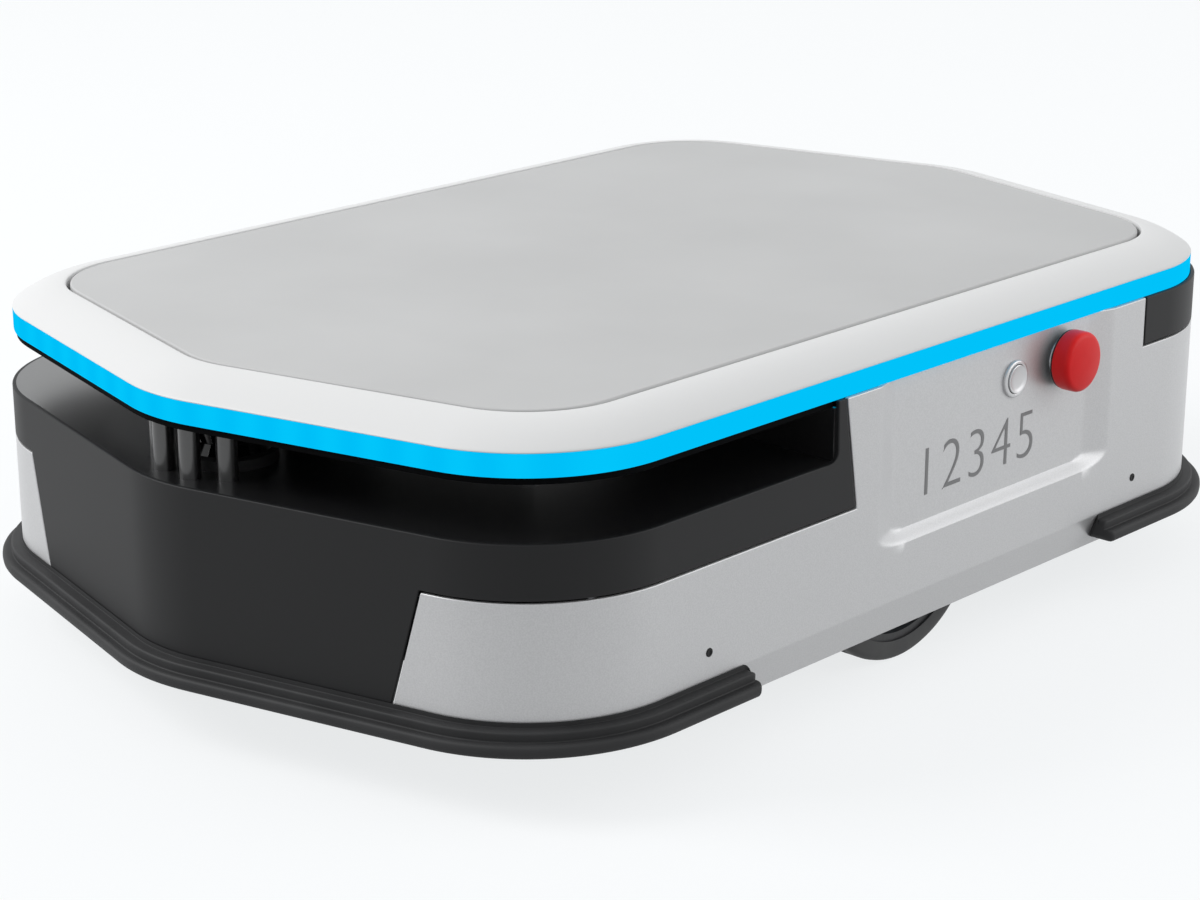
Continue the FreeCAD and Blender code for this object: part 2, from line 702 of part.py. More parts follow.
SCREW_SPOTS = [
    ("front_right", "half_width - screw_inset", "-screw_y"),
    ("front_left", "screw_inset - half_width", "-screw_y"),
    ("rear_right", "half_width - screw_inset", "screw_y"),
    ("rear_left", "screw_inset - half_width", "screw_y"),
]
BUSH_LOW = "deck_low + deck_sheet - bush_height"
bush_holes = []
bushes = []
for spot, x, y in SCREW_SPOTS:
    bush_holes.append(rod("bush_hole", "Z", (x, y), BUSH_LOW, LIGHT_TOP, "leg_radius + bush_wall"))
    bush = turned(
        "bush_" + spot,
        "Z",
        (x, y),
        [
            (BUSH_LOW, "leg_radius + running_gap"),
            (BUSH_LOW, "leg_radius + bush_wall"),
            ("deck_low + deck_sheet", "leg_radius + bush_wall"),
            ("deck_low + deck_sheet", "leg_radius + bush_wall + bush_flange"),
            ("deck_low + deck_sheet + bush_rim", "leg_radius + bush_wall + bush_flange"),
            ("deck_low + deck_sheet + bush_rim", "leg_radius + running_gap"),
        ],
    )
    bushes.append(bush)
keep(cut("frame_cut", fused("frame_weld", frame_ring, floor_sheet), *bush_holes), "deck_frame")
keep(group("bush_group", *bushes), "guide_bushes")

# ---------------------------------------------------------------- scanner slot

TRAY_LOW = "slot_low - wall"
# Slot tray: floor, back wall and two end walls behind the slot of the front cover, in one.
slot_span = ("-(%s)" % FAR, "-slot_end")
slot_region = block("slot_region", ("-(%s)" % FAR, FAR), slot_span, (TRAY_LOW, COVER_TOP))
tray_floor = plan_prism("tray_floor", [SHELL_IN, "slot_depth"], TRAY_LOW, "slot_low")
tray_back = plan_prism("tray_back", ["slot_depth - wall", "slot_depth"], "slot_low", COVER_TOP)
end_span = ("-slot_end - wall", "-slot_end")
tray_end = block("tray_end", ("-(%s)" % FAR, FAR), end_span, ("slot_low", COVER_TOP))
tray_ring = plan_prism("tray_ring", [SHELL_IN, "slot_depth"], TRAY_LOW, COVER_TOP)
tray_ends = shared("tray_ends", tray_ring, tray_end)
# Four round posts moulded on its floor keep things off the scanner's window.
guards = []
for side in (-1, 1):
    for angle in ("guard_inner", "guard_outer"):
        x = "%d * guard_ring * sin(%s * pi / 180 * 1rad)" % (side, angle)
        y = "-scanner_front - guard_ring * cos(%s * pi / 180 * 1rad)" % angle
        guards.append(rod("guard_post", "Z", (x, y), "slot_low", COVER_TOP, "guard_radius"))
tray_walls = fused("tray_walls", tray_floor, tray_back, tray_ends, *guards)
keep(shared("tray_cut", tray_walls, slot_region), "slot_tray")

# Scanner: a turned housing with a dark window ring and a cap.
SCANNER_SPOT = ("0", "-scanner_front")
GLASS_LOW = "slot_low + scanner_foot"
GLASS_TOP = "slot_low + scanner_foot + scanner_glass"
scanner_base = turned(
    "scanner_base_turned",
    "Z",
    SCANNER_SPOT,
    [
        ("slot_low", "0"),
        ("slot_low", "scanner_radius"),
        (GLASS_LOW + " - edge", "scanner_radius"),
        (GLASS_LOW, "scanner_radius - scanner_shell"),
        (GLASS_LOW, "0"),
    ],
)
keep(scanner_base, "scanner_base")
scanner_window = turned(
    "scanner_window_turned",
    "Z",
    SCANNER_SPOT,
    [
        (GLASS_LOW, "scanner_radius - scanner_waist - edge"),
        (GLASS_LOW, "scanner_radius - scanner_shell"),
        (GLASS_LOW + " + scanner_glass * 0.4", "scanner_radius - scanner_waist"),
        (GLASS_TOP, "scanner_radius - scanner_shell"),
        (GLASS_TOP, "scanner_radius - scanner_waist - edge"),
    ],
)
keep(scanner_window, "scanner_window")
scanner_cap = turned(
    "scanner_cap_turned",
    "Z",
    SCANNER_SPOT,
    [
        (GLASS_TOP, "0"),
        (GLASS_TOP, "scanner_radius - edge"),
        (GLASS_TOP + " + edge", "scanner_radius"),
        (COVER_TOP, "scanner_radius"),
        (COVER_TOP, "0"),
    ],
)
keep(scanner_cap, "scanner_cap")

# ---------------------------------------------------------------- chassis

# Across the robot the drive wheels stand inside the straight sides, the arms inside the
# wheels, and the base plate between the arms.
WHEEL_FACE = "half_width - wheel_inset"
WHEEL_IN = WHEEL_FACE + " - wheel_width"
ARM_OUT = WHEEL_IN + " - arm_gap"
ARM_FACE = ARM_OUT + " - arm_thickness"
BASE_SIDE = ARM_FACE + " - base_side_gap"
BASE_TOP = "body_bottom + base_thickness"
DECK_FOOT = "caster_height + caster_deck"
BASE_END = "caster_y - caster_trail - caster_radius - base_gap"

# Base plate between the drive wheels.
base_plate = block(
    "base_block",
    ("-(%s)" % BASE_SIDE, BASE_SIDE),
    ("-(%s)" % BASE_END, BASE_END),
    ("body_bottom", BASE_TOP),
)
keep(base_plate, "base_plate")

# Caster decks: folded plates, raised over the casters, with a flange down to the base plate.
FLANGE_IN = BASE_END + " - caster_deck"
for end, low, high, fold in (
    ("front", "-(%s)" % FAR, "-(%s)" % FLANGE_IN, ("-(%s)" % BASE_END, "-(%s)" % FLANGE_IN)),
    ("rear", FLANGE_IN, FAR, (FLANGE_IN, BASE_END)),
):
    level = shared(
        "caster_level_" + end,
        plan_prism("caster_sheet_" + end, ["body_step"], "caster_height", DECK_FOOT),
        block("caster_region_" + end, ("-(%s)" % FAR, FAR), (low, high), ("0", "deck_low")),
    )
    flange = block(
        "caster_flange_" + end,
        ("-(%s)" % BASE_SIDE, BASE_SIDE),
        fold,
        (BASE_TOP, "caster_height"),
    )
    keep(fused("caster_deck_" + end + "_fold", level, flange), "caster_deck_" + end)

# Posts: square tubes that hold the deck above the base plate and the caster decks.
posts = []
for name, foot in (("mid_post", BASE_TOP), ("end_post", DECK_FOOT)):
    for side in ("-", ""):
        for end in ("-", ""):
            x = side + name + "_x"
            y = end + name + "_y"
            span = (x + " - post_side / 2", x + " + post_side / 2")
            depth = (y + " - post_side / 2", y + " + post_side / 2")
            posts.append(block(name, span, depth, (foot, "deck_low")))
keep(group("post_group", *posts), "frame_posts")

# ---------------------------------------------------------------- bumpers

BUMPER_TOP = "bumper_low + bumper_height"
LIP_LOW = "bumper_low + bumper_height - bumper_lip"
CARRIER_LOW = "bumper_low + carrier_up"
CARRIER_OUT = "-body_step - carrier_depth"
# Heights and offsets round the bead: a quarter circle at its foot and one at its top.
bead_foot = []
bead_top = []
for angle in (0, 30, 60, 90):
    offset = "bumper_round * (1 - sin(%d)) - bumper_reach" % angle
    rise = "bumper_round * (1 - cos(%d))" % angle
    bead_foot.append((offset, "bumper_low + " + rise))
    bead_top.insert(0, (offset, LIP_LOW + " - " + rise))
bumper_outer = plan_loft("bumper_outer", bead_foot + bead_top)
bumper_lip = plan_prism("bumper_lip", ["lip_inset - bumper_reach"], LIP_LOW, BUMPER_TOP)
bumper_core = plan_prism("bumper_core", ["bevel_inset"], "0", "deck_low")
CARRIER_TOP = CARRIER_LOW + " + carrier_height"
carrier_ring = plan_prism("carrier_ring", [CARRIER_OUT, "bevel_inset"], CARRIER_LOW, CARRIER_TOP)
bumper_profile = fused("bumper_profile", bumper_outer, bumper_lip)
bumper_ring = cut("bumper_ring", bumper_profile, bumper_core, shell_body, carrier_ring)
carrier_seat = cut("carrier_seat", carrier_ring, shell_body)
carriers = []
for end, low, high in (("front", "-(%s)" % FAR, "-bumper_end"), ("rear", "bumper_end", FAR)):
    region = block("bumper_region_" + end, ("-(%s)" % FAR, FAR), (low, high), ("0", "deck_low"))
    keep(shared("bumper_cut_" + end, bumper_ring, region), "bumper_" + end)
    carriers.append(shared("carrier_cut_" + end, carrier_seat, region))
keep(group("carrier_group", *carriers), "bumper_carriers")

# ---------------------------------------------------------------- controls

# Emergency stops, one on each side: a black base ring and barrel through the panel, and a
# red mushroom head on its plunger that is pushed in.
STOP_SPOT = ("stop_back", "stop_up")
BASE_FACE = RECESS_FACE + " + stop_base_height"
stop_base = turned(
    "stop_base_turned",
    "X",
    STOP_SPOT,
    [
        (RECESS_FACE + " - stop_barrel", "stop_plunger + running_gap"),
        (RECESS_FACE + " - stop_barrel", "stop_radius / 2"),
        (RECESS_FACE, "stop_radius / 2"),
        (RECESS_FACE, "stop_radius + 1.5"),
        (BASE_FACE + " - 1", "stop_radius + 1.5"),
        (BASE_FACE, "stop_radius + 0.5"),
        (BASE_FACE, "stop_plunger + running_gap"),
    ],
)
stop_twin = mirrored("stop_base_mirror", stop_base, X_AXIS)
keep(group("stop_bases", stop_base, stop_twin), "stop_bases")
HEAD_LOW = BASE_FACE + " + stop_travel + 1"
HEAD_FACE = HEAD_LOW + " + stop_head_height"
stop_head = turned(
    "stop_head_turned",
    "X",
    STOP_SPOT,
    [
        (BASE_FACE + " - stop_barrel", "0"),
        (BASE_FACE + " - stop_barrel", "stop_plunger"),
        (HEAD_LOW, "stop_plunger"),
        (HEAD_LOW, "stop_radius - edge"),
        (HEAD_LOW + " + edge", "stop_radius"),
        (HEAD_FACE + " - stop_head_height * 0.48", "stop_radius"),
        (HEAD_FACE + " - stop_head_height * 0.36", "stop_radius * 0.986"),
        (HEAD_FACE + " - stop_head_height * 0.22", "stop_radius * 0.93"),
        (HEAD_FACE + " - stop_head_height * 0.1", "stop_radius * 0.82"),
        (HEAD_FACE + " - stop_head_height * 0.03", "stop_radius * 0.65"),
        (HEAD_FACE, "stop_radius * 0.4"),
        (HEAD_FACE, "0"),
    ],
)
keep(stop_head, "stop_head_right")
keep(mirrored("stop_head_mirror", stop_head, X_AXIS), "stop_head_left")

# Power button on the right side: a bright ring and a button that is pushed in.
BUTTON_SPOT = ("button_back", "button_up")
RING_FACE = RECESS_FACE + " + ring_height"
BUTTON_EDGE = "button_radius - button_gap"
button_ring = turned(
    "button_ring_turned",
    "X",
    BUTTON_SPOT,
    [
        (RECESS_FACE + " - button_barrel", "button_radius"),
        (RECESS_FACE + " - button_barrel", "button_radius + button_gap"),
        (RECESS_FACE, "button_radius + button_gap"),
        (RECESS_FACE, "button_radius + ring_width"),
        (RING_FACE + " - 1", "button_radius + ring_width"),
        (RING_FACE, "button_radius + ring_width - 1"),
        (RING_FACE, "button_radius"),
    ],
)
keep(button_ring, "power_ring")
power_button = turned(
    "power_button_turned",
    "X",
    BUTTON_SPOT,
    [
        (RING_FACE + " - button_barrel", "0"),
        (RING_FACE + " - button_barrel", BUTTON_EDGE),
        (RING_FACE + " + button_travel / 3", BUTTON_EDGE),
        (RING_FACE + " + button_travel", BUTTON_EDGE + " - button_travel"),
        (RING_FACE + " + button_travel", "0"),
    ],
)
keep(power_button, "power_button")

# ---------------------------------------------------------------- drive

# Each drive wheel hangs on a cast arm that swings on a pin and is pressed down by a buffer
# spring; the gearmotor is bolted to the arm's inner face.
WHEEL_SPOT = ("0", "wheel_radius")
PIVOT_SPOT = ("-pivot_front", "pivot_up")
ARM_END = "spring_back + spring_radius + arm_margin"
SPRING_SPOT = (ARM_FACE + " + arm_thickness / 2", "spring_back")

arm_blank = polygon_prism(
    "arm_blank",
    "YZ",
    ARM_FACE,
    ARM_OUT,
    [
        ("-pivot_front - pivot_boss", "pivot_up + pivot_corner - pivot_boss"),
        ("pivot_corner - pivot_front - pivot_boss", "pivot_up - pivot_boss"),
        ("-gear_radius - arm_margin", "wheel_radius - gear_radius"),
        ("gear_radius + arm_margin", "wheel_radius - gear_radius"),
        ("spring_back - spring_radius - gear_radius", "spring_low - gear_radius * 0.65"),
        (ARM_END, "spring_low - gear_radius * 0.4"),
        (ARM_END, "spring_low"),
        ("spring_back - spring_radius - arm_margin", "spring_low"),
        ("gear_radius", "wheel_radius + gear_radius + arm_margin"),
        ("-gear_radius", "wheel_radius + gear_radius + arm_margin"),
        ("pivot_corner - pivot_front - pivot_boss", "pivot_up + pivot_boss"),
        ("-pivot_front - pivot_boss", "pivot_up - pivot_corner + pivot_boss"),
    ],
)
arm_bore = rod("arm_bore", "X", PIVOT_SPOT, "0", FAR, "pivot_radius + running_gap")
arm_window = rod("arm_window", "X", WHEEL_SPOT, "0", FAR, "axle_radius + hub_window")
seat_pad = rod("seat_pad", "Z", SPRING_SPOT, "spring_low - seat_depth", "spring_low", "spring_radius")
arm_right = fused("arm_right", cut("arm_cut", arm_blank, arm_bore, arm_window), seat_pad)
keep(arm_right, "arm_right")
keep(mirrored("arm_mirror", arm_right, X_AXIS), "arm_left")

gearbox = rod("gearbox", "X", WHEEL_SPOT, ARM_FACE + " - gear_length", ARM_FACE, "gear_radius")
motor_block = block(
    "motor_block",
    (ARM_FACE + " - gear_length - motor_length", ARM_FACE + " - gear_length"),
    ("-motor_side / 2", "motor_side / 2"),
    ("wheel_radius - motor_side / 2", "wheel_radius + motor_side / 2"),
)
spigot = rod("gear_spigot", "X", WHEEL_SPOT, ARM_FACE, ARM_OUT, "axle_radius + hub_window")
shaft_radius = "axle_radius + running_gap"
shaft_bore = rod("shaft_bore", "X", WHEEL_SPOT, ARM_FACE + " - axle_reach", FAR, shaft_radius)
gearmotor = cut("gearmotor", fused("gearmotor_body", gearbox, motor_block, spigot), shaft_bore)
keep(gearmotor, "gearmotor_right")
keep(mirrored("gearmotor_mirror", gearmotor, X_AXIS), "gearmotor_left")

RIM = "wheel_radius - tread_depth"
HUB_IN = WHEEL_IN + " + hub_inset"
HUB_OUT = WHEEL_FACE + " - hub_inset"
hub = turned(
    "hub_turned",
    "X",
    WHEEL_SPOT,
    [
        (ARM_FACE + " - axle_reach + edge", "0"),
        (ARM_FACE + " - axle_reach + edge", "axle_radius"),
        (HUB_IN, "axle_radius"),
        (HUB_IN, "axle_radius + hub_boss"),
        (HUB_IN + " + hub_dish", "axle_radius + hub_boss + rim_wall"),
        (HUB_IN + " + hub_dish", RIM + " - rim_wall * 2"),
        (HUB_IN, RIM + " - rim_wall"),
        (HUB_IN, RIM),
        (HUB_OUT, RIM),
        (HUB_OUT, RIM + " - rim_wall"),
        (HUB_OUT + " - hub_face", RIM + " - rim_wall * 2"),
        (HUB_OUT + " - hub_face", "axle_radius + hub_boss + rim_wall"),
        (HUB_OUT + " - edge", "axle_radius + hub_boss"),
        (HUB_OUT + " - edge", "0"),
    ],
)
keep(hub, "wheel_hub_right")
keep(mirrored("hub_mirror", hub, X_AXIS), "wheel_hub_left")
tyre = turned(
    "tyre_turned",
    "X",
    WHEEL_SPOT,
    [
        (WHEEL_IN, RIM),
        (WHEEL_IN, "wheel_radius - tyre_round"),
        (WHEEL_IN + " + tyre_round", "wheel_radius"),
        (WHEEL_FACE + " - tyre_round", "wheel_radius"),
        (WHEEL_FACE, "wheel_radius - tyre_round"),
        (WHEEL_FACE, RIM),
    ],
)
keep(tyre, "tyre_right")
keep(mirrored("tyre_mirror", tyre, X_AXIS), "tyre_left")

# Suspension brackets: a pivot post with its pin, and a gallows over each spring.
BRACKET_OUT = ARM_FACE + " - bracket_gap"
BRACKET_IN = ARM_FACE + " - bracket_gap - bracket_depth"
POST_SPAN = ("-pivot_front - bracket_half", "bracket_half - pivot_front")
POST_TOP = "pivot_up + pivot_radius + pin_head * 2"
HEAD_IN = ARM_OUT + " + pin_gap"
HEAD_OUT = ARM_OUT + " + pin_gap + pin_head"
pivot_post = block("pivot_post", (BRACKET_IN, BRACKET_OUT), POST_SPAN, (BASE_TOP, POST_TOP))
pivot_pin = rod("pivot_pin", "X", PIVOT_SPOT, BRACKET_IN, HEAD_OUT, "pivot_radius")
pin_cap = rod("pin_cap", "X", PIVOT_SPOT, HEAD_IN, HEAD_OUT, "pivot_radius + pin_head")
pivot_bracket = fused("pivot_bracket", pivot_post, pivot_pin, pin_cap)
SPRING_TOP = "spring_low + spring_height"
gallows_post = block(
    "gallows_post",
    (BRACKET_IN, ARM_FACE + " - bracket_gap - edge"),
    ("spring_back - spring_radius + edge", "spring_back + spring_radius - edge"),
    (BASE_TOP, SPRING_TOP),
)
gallows_arm = block(
    "gallows_arm",
    (BRACKET_IN, ARM_FACE + " + arm_thickness / 2 + gallows_half"),
    ("spring_back - gallows_half", "spring_back + gallows_half"),
    (SPRING_TOP, SPRING_TOP + " + gallows_height"),
)
gallows = fused("gallows", gallows_post, gallows_arm)
brackets = [pivot_bracket, gallows]
brackets.append(mirrored("pivot_bracket_mirror", pivot_bracket, X_AXIS))
brackets.append(mirrored("gallows_mirror", gallows, X_AXIS))
keep(group("bracket_group", *brackets), "suspension_brackets")

spring = turned(
    "spring_turned",
    "Z",
    SPRING_SPOT,
    [
        ("spring_low", "0"),
        ("spring_low", "spring_radius"),
        ("spring_low + spring_height * 0.1", "spring_radius"),
        ("spring_low + spring_height * 0.25", "spring_radius * 0.7"),
        ("spring_low + spring_height * 0.4", "spring_radius"),
        ("spring_low + spring_height * 0.6", "spring_radius"),
        ("spring_low + spring_height * 0.75", "spring_radius * 0.7"),
        ("spring_low + spring_height * 0.9", "spring_radius"),
        (SPRING_TOP, "spring_radius"),
        (SPRING_TOP, "0"),
    ],
)
keep(spring, "spring_right")
keep(mirrored("spring_mirror", spring, X_AXIS), "spring_left")

# ---------------------------------------------------------------- lift

# Load plate: a shallow tray turned upside down, stiffened by its flange, on four legs.
PLATE_EDGE = "bezel_width + plate_gap"
PLATE_LOW = "deck_low + light_height + plate_lift_gap"
plate_body = plan_prism("plate_body", [PLATE_EDGE], PLATE_LOW, DECK_TOP)
SKIN_LOW = DECK_TOP + " - plate_skin"
plate_hollow = plan_prism("plate_hollow", [PLATE_EDGE + " + plate_flange"], PLATE_LOW, SKIN_LOW)
keep(cut("plate_cut", plate_body, plate_hollow), "load_plate")

PULLEY_TOP = "belt_low + pulley_height"
NUT_LOW = PULLEY_TOP + " + nut_rest"
LEG_LOW = NUT_LOW + " + nut_flange"
SCREW_TOP = LEG_LOW + " + nut_height + lift_travel + screw_spare"
COLLAR_LOW = BASE_TOP + " + bearing_height + clear_gap"
legs = []
nuts = []
bearings = []
for spot, x, y in SCREW_SPOTS:
    legs.append(
        turned(
            "leg_" + spot,
            "Z",
            (x, y),
            [
                (LEG_LOW, "leg_radius - leg_wall"),
                (LEG_LOW, "leg_radius"),
                (PLATE_LOW, "leg_radius"),
                (PLATE_LOW, "leg_radius + leg_foot"),
                (SKIN_LOW, "leg_radius + leg_foot"),
                (SKIN_LOW, "leg_radius - leg_wall"),
            ],
        )
    )
    nuts.append(
        turned(
            "nut_" + spot,
            "Z",
            (x, y),
            [
                (NUT_LOW, "screw_radius + running_gap"),
                (NUT_LOW, "leg_radius"),
                (LEG_LOW, "leg_radius"),
                (LEG_LOW, "leg_radius - leg_wall"),
                (LEG_LOW + " + nut_height", "leg_radius - leg_wall"),
                (LEG_LOW + " + nut_height", "screw_radius + running_gap"),
            ],
        )
    )
    bearings.append(
        turned(
            "bearing_" + spot,
            "Z",
            (x, y),
            [
                (BASE_TOP, "screw_radius + running_gap"),
                (BASE_TOP, "bearing_radius"),
                (BASE_TOP + " + bearing_flange", "bearing_radius"),
                (BASE_TOP + " + bearing_flange + edge", "bearing_radius - bearing_flange"),
                (BASE_TOP + " + bearing_height", "bearing_radius - bearing_flange"),
                (BASE_TOP + " + bearing_height", "screw_radius + running_gap"),
            ],
        )
    )
    lift_screw = turned(
        "screw_" + spot,
        "Z",
        (x, y),
        [
            (BASE_TOP + " + clear_gap", "0"),
            (BASE_TOP + " + clear_gap", "screw_radius"),
            (COLLAR_LOW, "screw_radius"),
            (COLLAR_LOW, "screw_radius + collar_width"),
            (COLLAR_LOW + " + collar_height", "screw_radius + collar_width"),
            (COLLAR_LOW + " + collar_height", "screw_radius"),
            ("belt_low", "screw_radius"),
            ("belt_low", "pulley_radius"),
            (PULLEY_TOP, "pulley_radius"),
            (PULLEY_TOP, "screw_radius"),
            (SCREW_TOP, "screw_radius"),
            (SCREW_TOP, "0"),
        ],
    )
    keep(lift_screw, "lift_screw_" + spot)
keep(group("leg_group", *legs), "lift_legs")
keep(group("nut_group", *nuts), "lift_nuts")
keep(group("bearing_group", *bearings), "screw_bearings")

# Lift motor with its pulley, and the belt that turns all four screws together.
LIFT_MOTOR_Y = FLANGE_IN + " - lift_motor_gap - lift_motor_radius"
MOTOR_SPOT = ("0", LIFT_MOTOR_Y)
lift_motor = turned(
    "lift_motor_turned",
    "Z",
    MOTOR_SPOT,
    [
        (BASE_TOP, "0"),
        (BASE_TOP, "lift_motor_radius"),
        ("belt_low - lift_motor_top - edge * 2", "lift_motor_radius"),
        ("belt_low - lift_motor_top", "lift_motor_radius - edge * 3"),
        ("belt_low - lift_motor_top", "lift_shaft + running_gap"),
        ("belt_low - lift_motor_top - shaft_depth", "lift_shaft + running_gap"),
        ("belt_low - lift_motor_top - shaft_depth", "0"),
    ],
)
keep(lift_motor, "lift_motor")
motor_pulley = turned(
    "motor_pulley_turned",
    "Z",
    MOTOR_SPOT,
    [
        ("belt_low - lift_motor_top - shaft_depth + edge", "0"),
        ("belt_low - lift_motor_top - shaft_depth + edge", "lift_shaft"),
        ("belt_low", "lift_shaft"),
        ("belt_low", "pulley_radius"),
        (PULLEY_TOP, "pulley_radius"),
        (PULLEY_TOP, "0"),
    ],
)
keep(motor_pulley, "motor_pulley")

BELT_SPOTS = [
    ("half_width - screw_inset", "screw_y"),
    ("0", LIFT_MOTOR_Y),
    ("screw_inset - half_width", "screw_y"),
    ("screw_inset - half_width", "-screw_y"),
    ("half_width - screw_inset", "-screw_y"),
]


def belt_loop(sketch, radius):
    """A closed belt line: straights tangent to equal arcs round the five pulleys."""
    first = sketch.GeometryCount
    centres = [FreeCAD.Vector(value(x), value(y), 0) for x, y in BELT_SPOTS]
    count = len(centres)
    turns = []
    for step in range(count):
        run = centres[(step + 1) % count] - centres[step]
        turns.append(math.atan2(run.y, run.x) - math.pi / 2)
    arcs = []
    for step in range(count):
        start, end = turns[step - 1], turns[step]
        if end < start:
            end += 2 * math.pi
        circle = Part.Circle(centres[step], Z_AXIS, value(radius))
        arcs.append(Part.ArcOfCircle(circle, start, end))
    for step, arc in enumerate(arcs):
        sketch.addGeometry(arc, False)
        sketch.addGeometry(Part.LineSegment(arc.EndPoint, arcs[(step + 1) % count].StartPoint), False)
    for step in range(2 * count):
        following = first + (step + 1) % (2 * count)
        sketch.addConstraint(Sketcher.Constraint("Tangent", first + step, 2, following, 1))
    for step, (x, y) in enumerate(BELT_SPOTS):
        pin_point(sketch, first + 2 * step, 3, x, y)
        if step:
            sketch.addConstraint(Sketcher.Constraint("Equal", first, first + 2 * step))
        else:
            rule = Sketcher.Constraint("Radius", first, value(radius))
            bind(sketch, "Constraints[%d]" % sketch.addConstraint(rule), radius)


belt_sketch = new_sketch("belt_sketch", "XY", "belt_low + 1")
belt_loop(belt_sketch, "pulley_radius + clear_gap")
belt_loop(belt_sketch, "pulley_radius + clear_gap + belt_thickness")
keep(extruded("belt_band", belt_sketch, "XY", "pulley_height - 2"), "lift_belt")

# ---------------------------------------------------------------- casters

# Four trailing swivel casters: plate, fork with its axle, and wheel.
PLATE_FOOT = "caster_height - caster_plate"
CROWN_TOP = "caster_height - caster_plate - edge"
CROWN_LOW = "caster_height - caster_plate - edge - fork_crown"
STEM_TOP = "caster_height - clear_gap"
FORK_HALF = "caster_width / 2 + fork_gap + fork_wall"
CASTER_SPOTS = [
    ("front_right", "half_width - caster_inset", "-caster_y"),
    ("front_left", "caster_inset - half_width", "-caster_y"),
    ("rear_right", "half_width - caster_inset", "caster_y"),
    ("rear_left", "caster_inset - half_width", "caster_y"),
]
plates = []
for spot, x, y in CASTER_SPOTS:
    plates.append(
        turned(
            "caster_plate_" + spot,
            "Z",
            (x, y),
            [
                (PLATE_FOOT, "stem_radius + running_gap"),
                (PLATE_FOOT, "plate_radius"),
                ("caster_height", "plate_radius"),
                ("caster_height", "stem_radius + running_gap"),
            ],
        )
    )
    fork_side = polygon_prism(
        "fork_side_" + spot,
        "YZ",
        "%s - (%s)" % (x, FORK_HALF),
        "%s + %s" % (x, FORK_HALF),
        [
            (y + " - fork_half", CROWN_LOW),
            (y + " - fork_end", "caster_radius * 1.4"),
            (y + " + caster_trail - fork_end", "caster_radius * 0.8"),
            (y + " + caster_trail + fork_end", "caster_radius * 0.8"),
            (y + " + caster_trail + fork_end", "caster_radius + fork_end"),
            (y + " + fork_half", CROWN_LOW),
            (y + " + fork_half", CROWN_TOP),
            (y + " - fork_half", CROWN_TOP),
        ],
    )
    fork_slot = block(
        "fork_slot_" + spot,
        ("%s - caster_width / 2 - fork_gap" % x, "%s + caster_width / 2 + fork_gap" % x),
        (y + " - caster_radius * 2", y + " + caster_trail + caster_radius * 2"),
        ("0", "2 * caster_radius + fork_gap * 2.5"),
    )
    axle_spot = ("%s + caster_trail" % y, "caster_radius")
    axle = rod(
        "axle_" + spot,
        "X",
        axle_spot,
        "%s - (%s) - edge" % (x, FORK_HALF),
        "%s + %s + edge" % (x, FORK_HALF),
        "caster_axle",
    )
    stem = rod("stem_" + spot, "Z", (x, y), CROWN_TOP + " - 1", STEM_TOP, "stem_radius")
    fork = fused("fork_" + spot, cut("fork_arms_" + spot, fork_side, fork_slot), axle, stem)
    keep(fork, "caster_fork_" + spot)
    low = x + " - caster_width / 2"
    high = x + " + caster_width / 2"
    caster_wheel = turned(
        "caster_wheel_turned_" + spot,
        "X",
        axle_spot,
        [
            (low, "caster_axle + running_gap"),
            (low, "caster_axle + 6"),
            (low + " + tread_round", "caster_axle + 8"),
            (low + " + tread_round", "caster_radius - tread_height - 3"),
            (low, "caster_radius - tread_height"),
            (low, "caster_radius - tread_round"),
            (low + " + tread_round", "caster_radius"),
            (high + " - tread_round", "caster_radius"),
            (high, "caster_radius - tread_round"),
            (high, "caster_radius - tread_height"),
            (high + " - tread_round", "caster_radius - tread_height - 3"),
            (high + " - tread_round", "caster_axle + 8"),
            (high, "caster_axle + 6"),
            (high, "caster_axle + running_gap"),
        ],
    )
    keep(caster_wheel, "caster_wheel_" + spot)
keep(group("plate_group", *plates), "caster_plates")

# ---------------------------------------------------------------- power and control

BAY_END = LIFT_MOTOR_Y + " - lift_motor_radius - bay_gap"
battery = block(
    "battery_block",
    ("-battery_half", "battery_half"),
    (BAY_END + " - battery_length", BAY_END),
    (BASE_TOP, "%s + battery_height" % BASE_TOP),
)
keep(battery, "battery_pack")
controller = block(
    "controller_block",
    ("-control_half", "control_half"),
    ("-(%s)" % BAY_END, "control_length - (%s)" % BAY_END),
    (BASE_TOP, "%s + control_height" % BASE_TOP),
)
keep(controller, "controller")
CHARGE_FACE = "nose_tip - charge_inset"
CONTACT_MIDDLE = "charge_low + charge_height / 2"
charge_block = block(
    "charge_body",
    ("-charge_half", "charge_half"),
    (CHARGE_FACE + " - charge_depth", CHARGE_FACE),
    ("charge_low", "charge_low + charge_height"),
)
keep(charge_block, "charge_block")
contacts = []
for span in (("-contact_outer", "-contact_inner"), ("contact_inner", "contact_outer")):
    contacts.append(
        block(
            "contact",
            span,
            (CHARGE_FACE, CHARGE_FACE + " + contact_reach"),
            (CONTACT_MIDDLE + " - contact_half", CONTACT_MIDDLE + " + contact_half"),
        )
    )
keep(group("contact_group", *contacts), "charge_contacts")

# ---------------------------------------------------------------- build and write

document.recompute()
for item in document.Objects:
    if "Invalid" in item.State or "Error" in item.State:
        raise RuntimeError("failed: %s %s" % (item.Name, item.State))
for item in NODES:
    if item.Shape.isNull() or not item.Shape.isValid() or item.Shape.Volume <= 0:
        raise RuntimeError("bad shape: %s" % item.Label)

os.makedirs("parts", exist_ok=True)
for item in NODES:
    item.Shape.exportStep("parts/%s.step" % item.Label)
    print("%-26s %2d solids %12.1f mm3" % (item.Label, len(item.Shape.Solids), item.Shape.Volume))
print(len(NODES), "nodes")
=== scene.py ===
import math

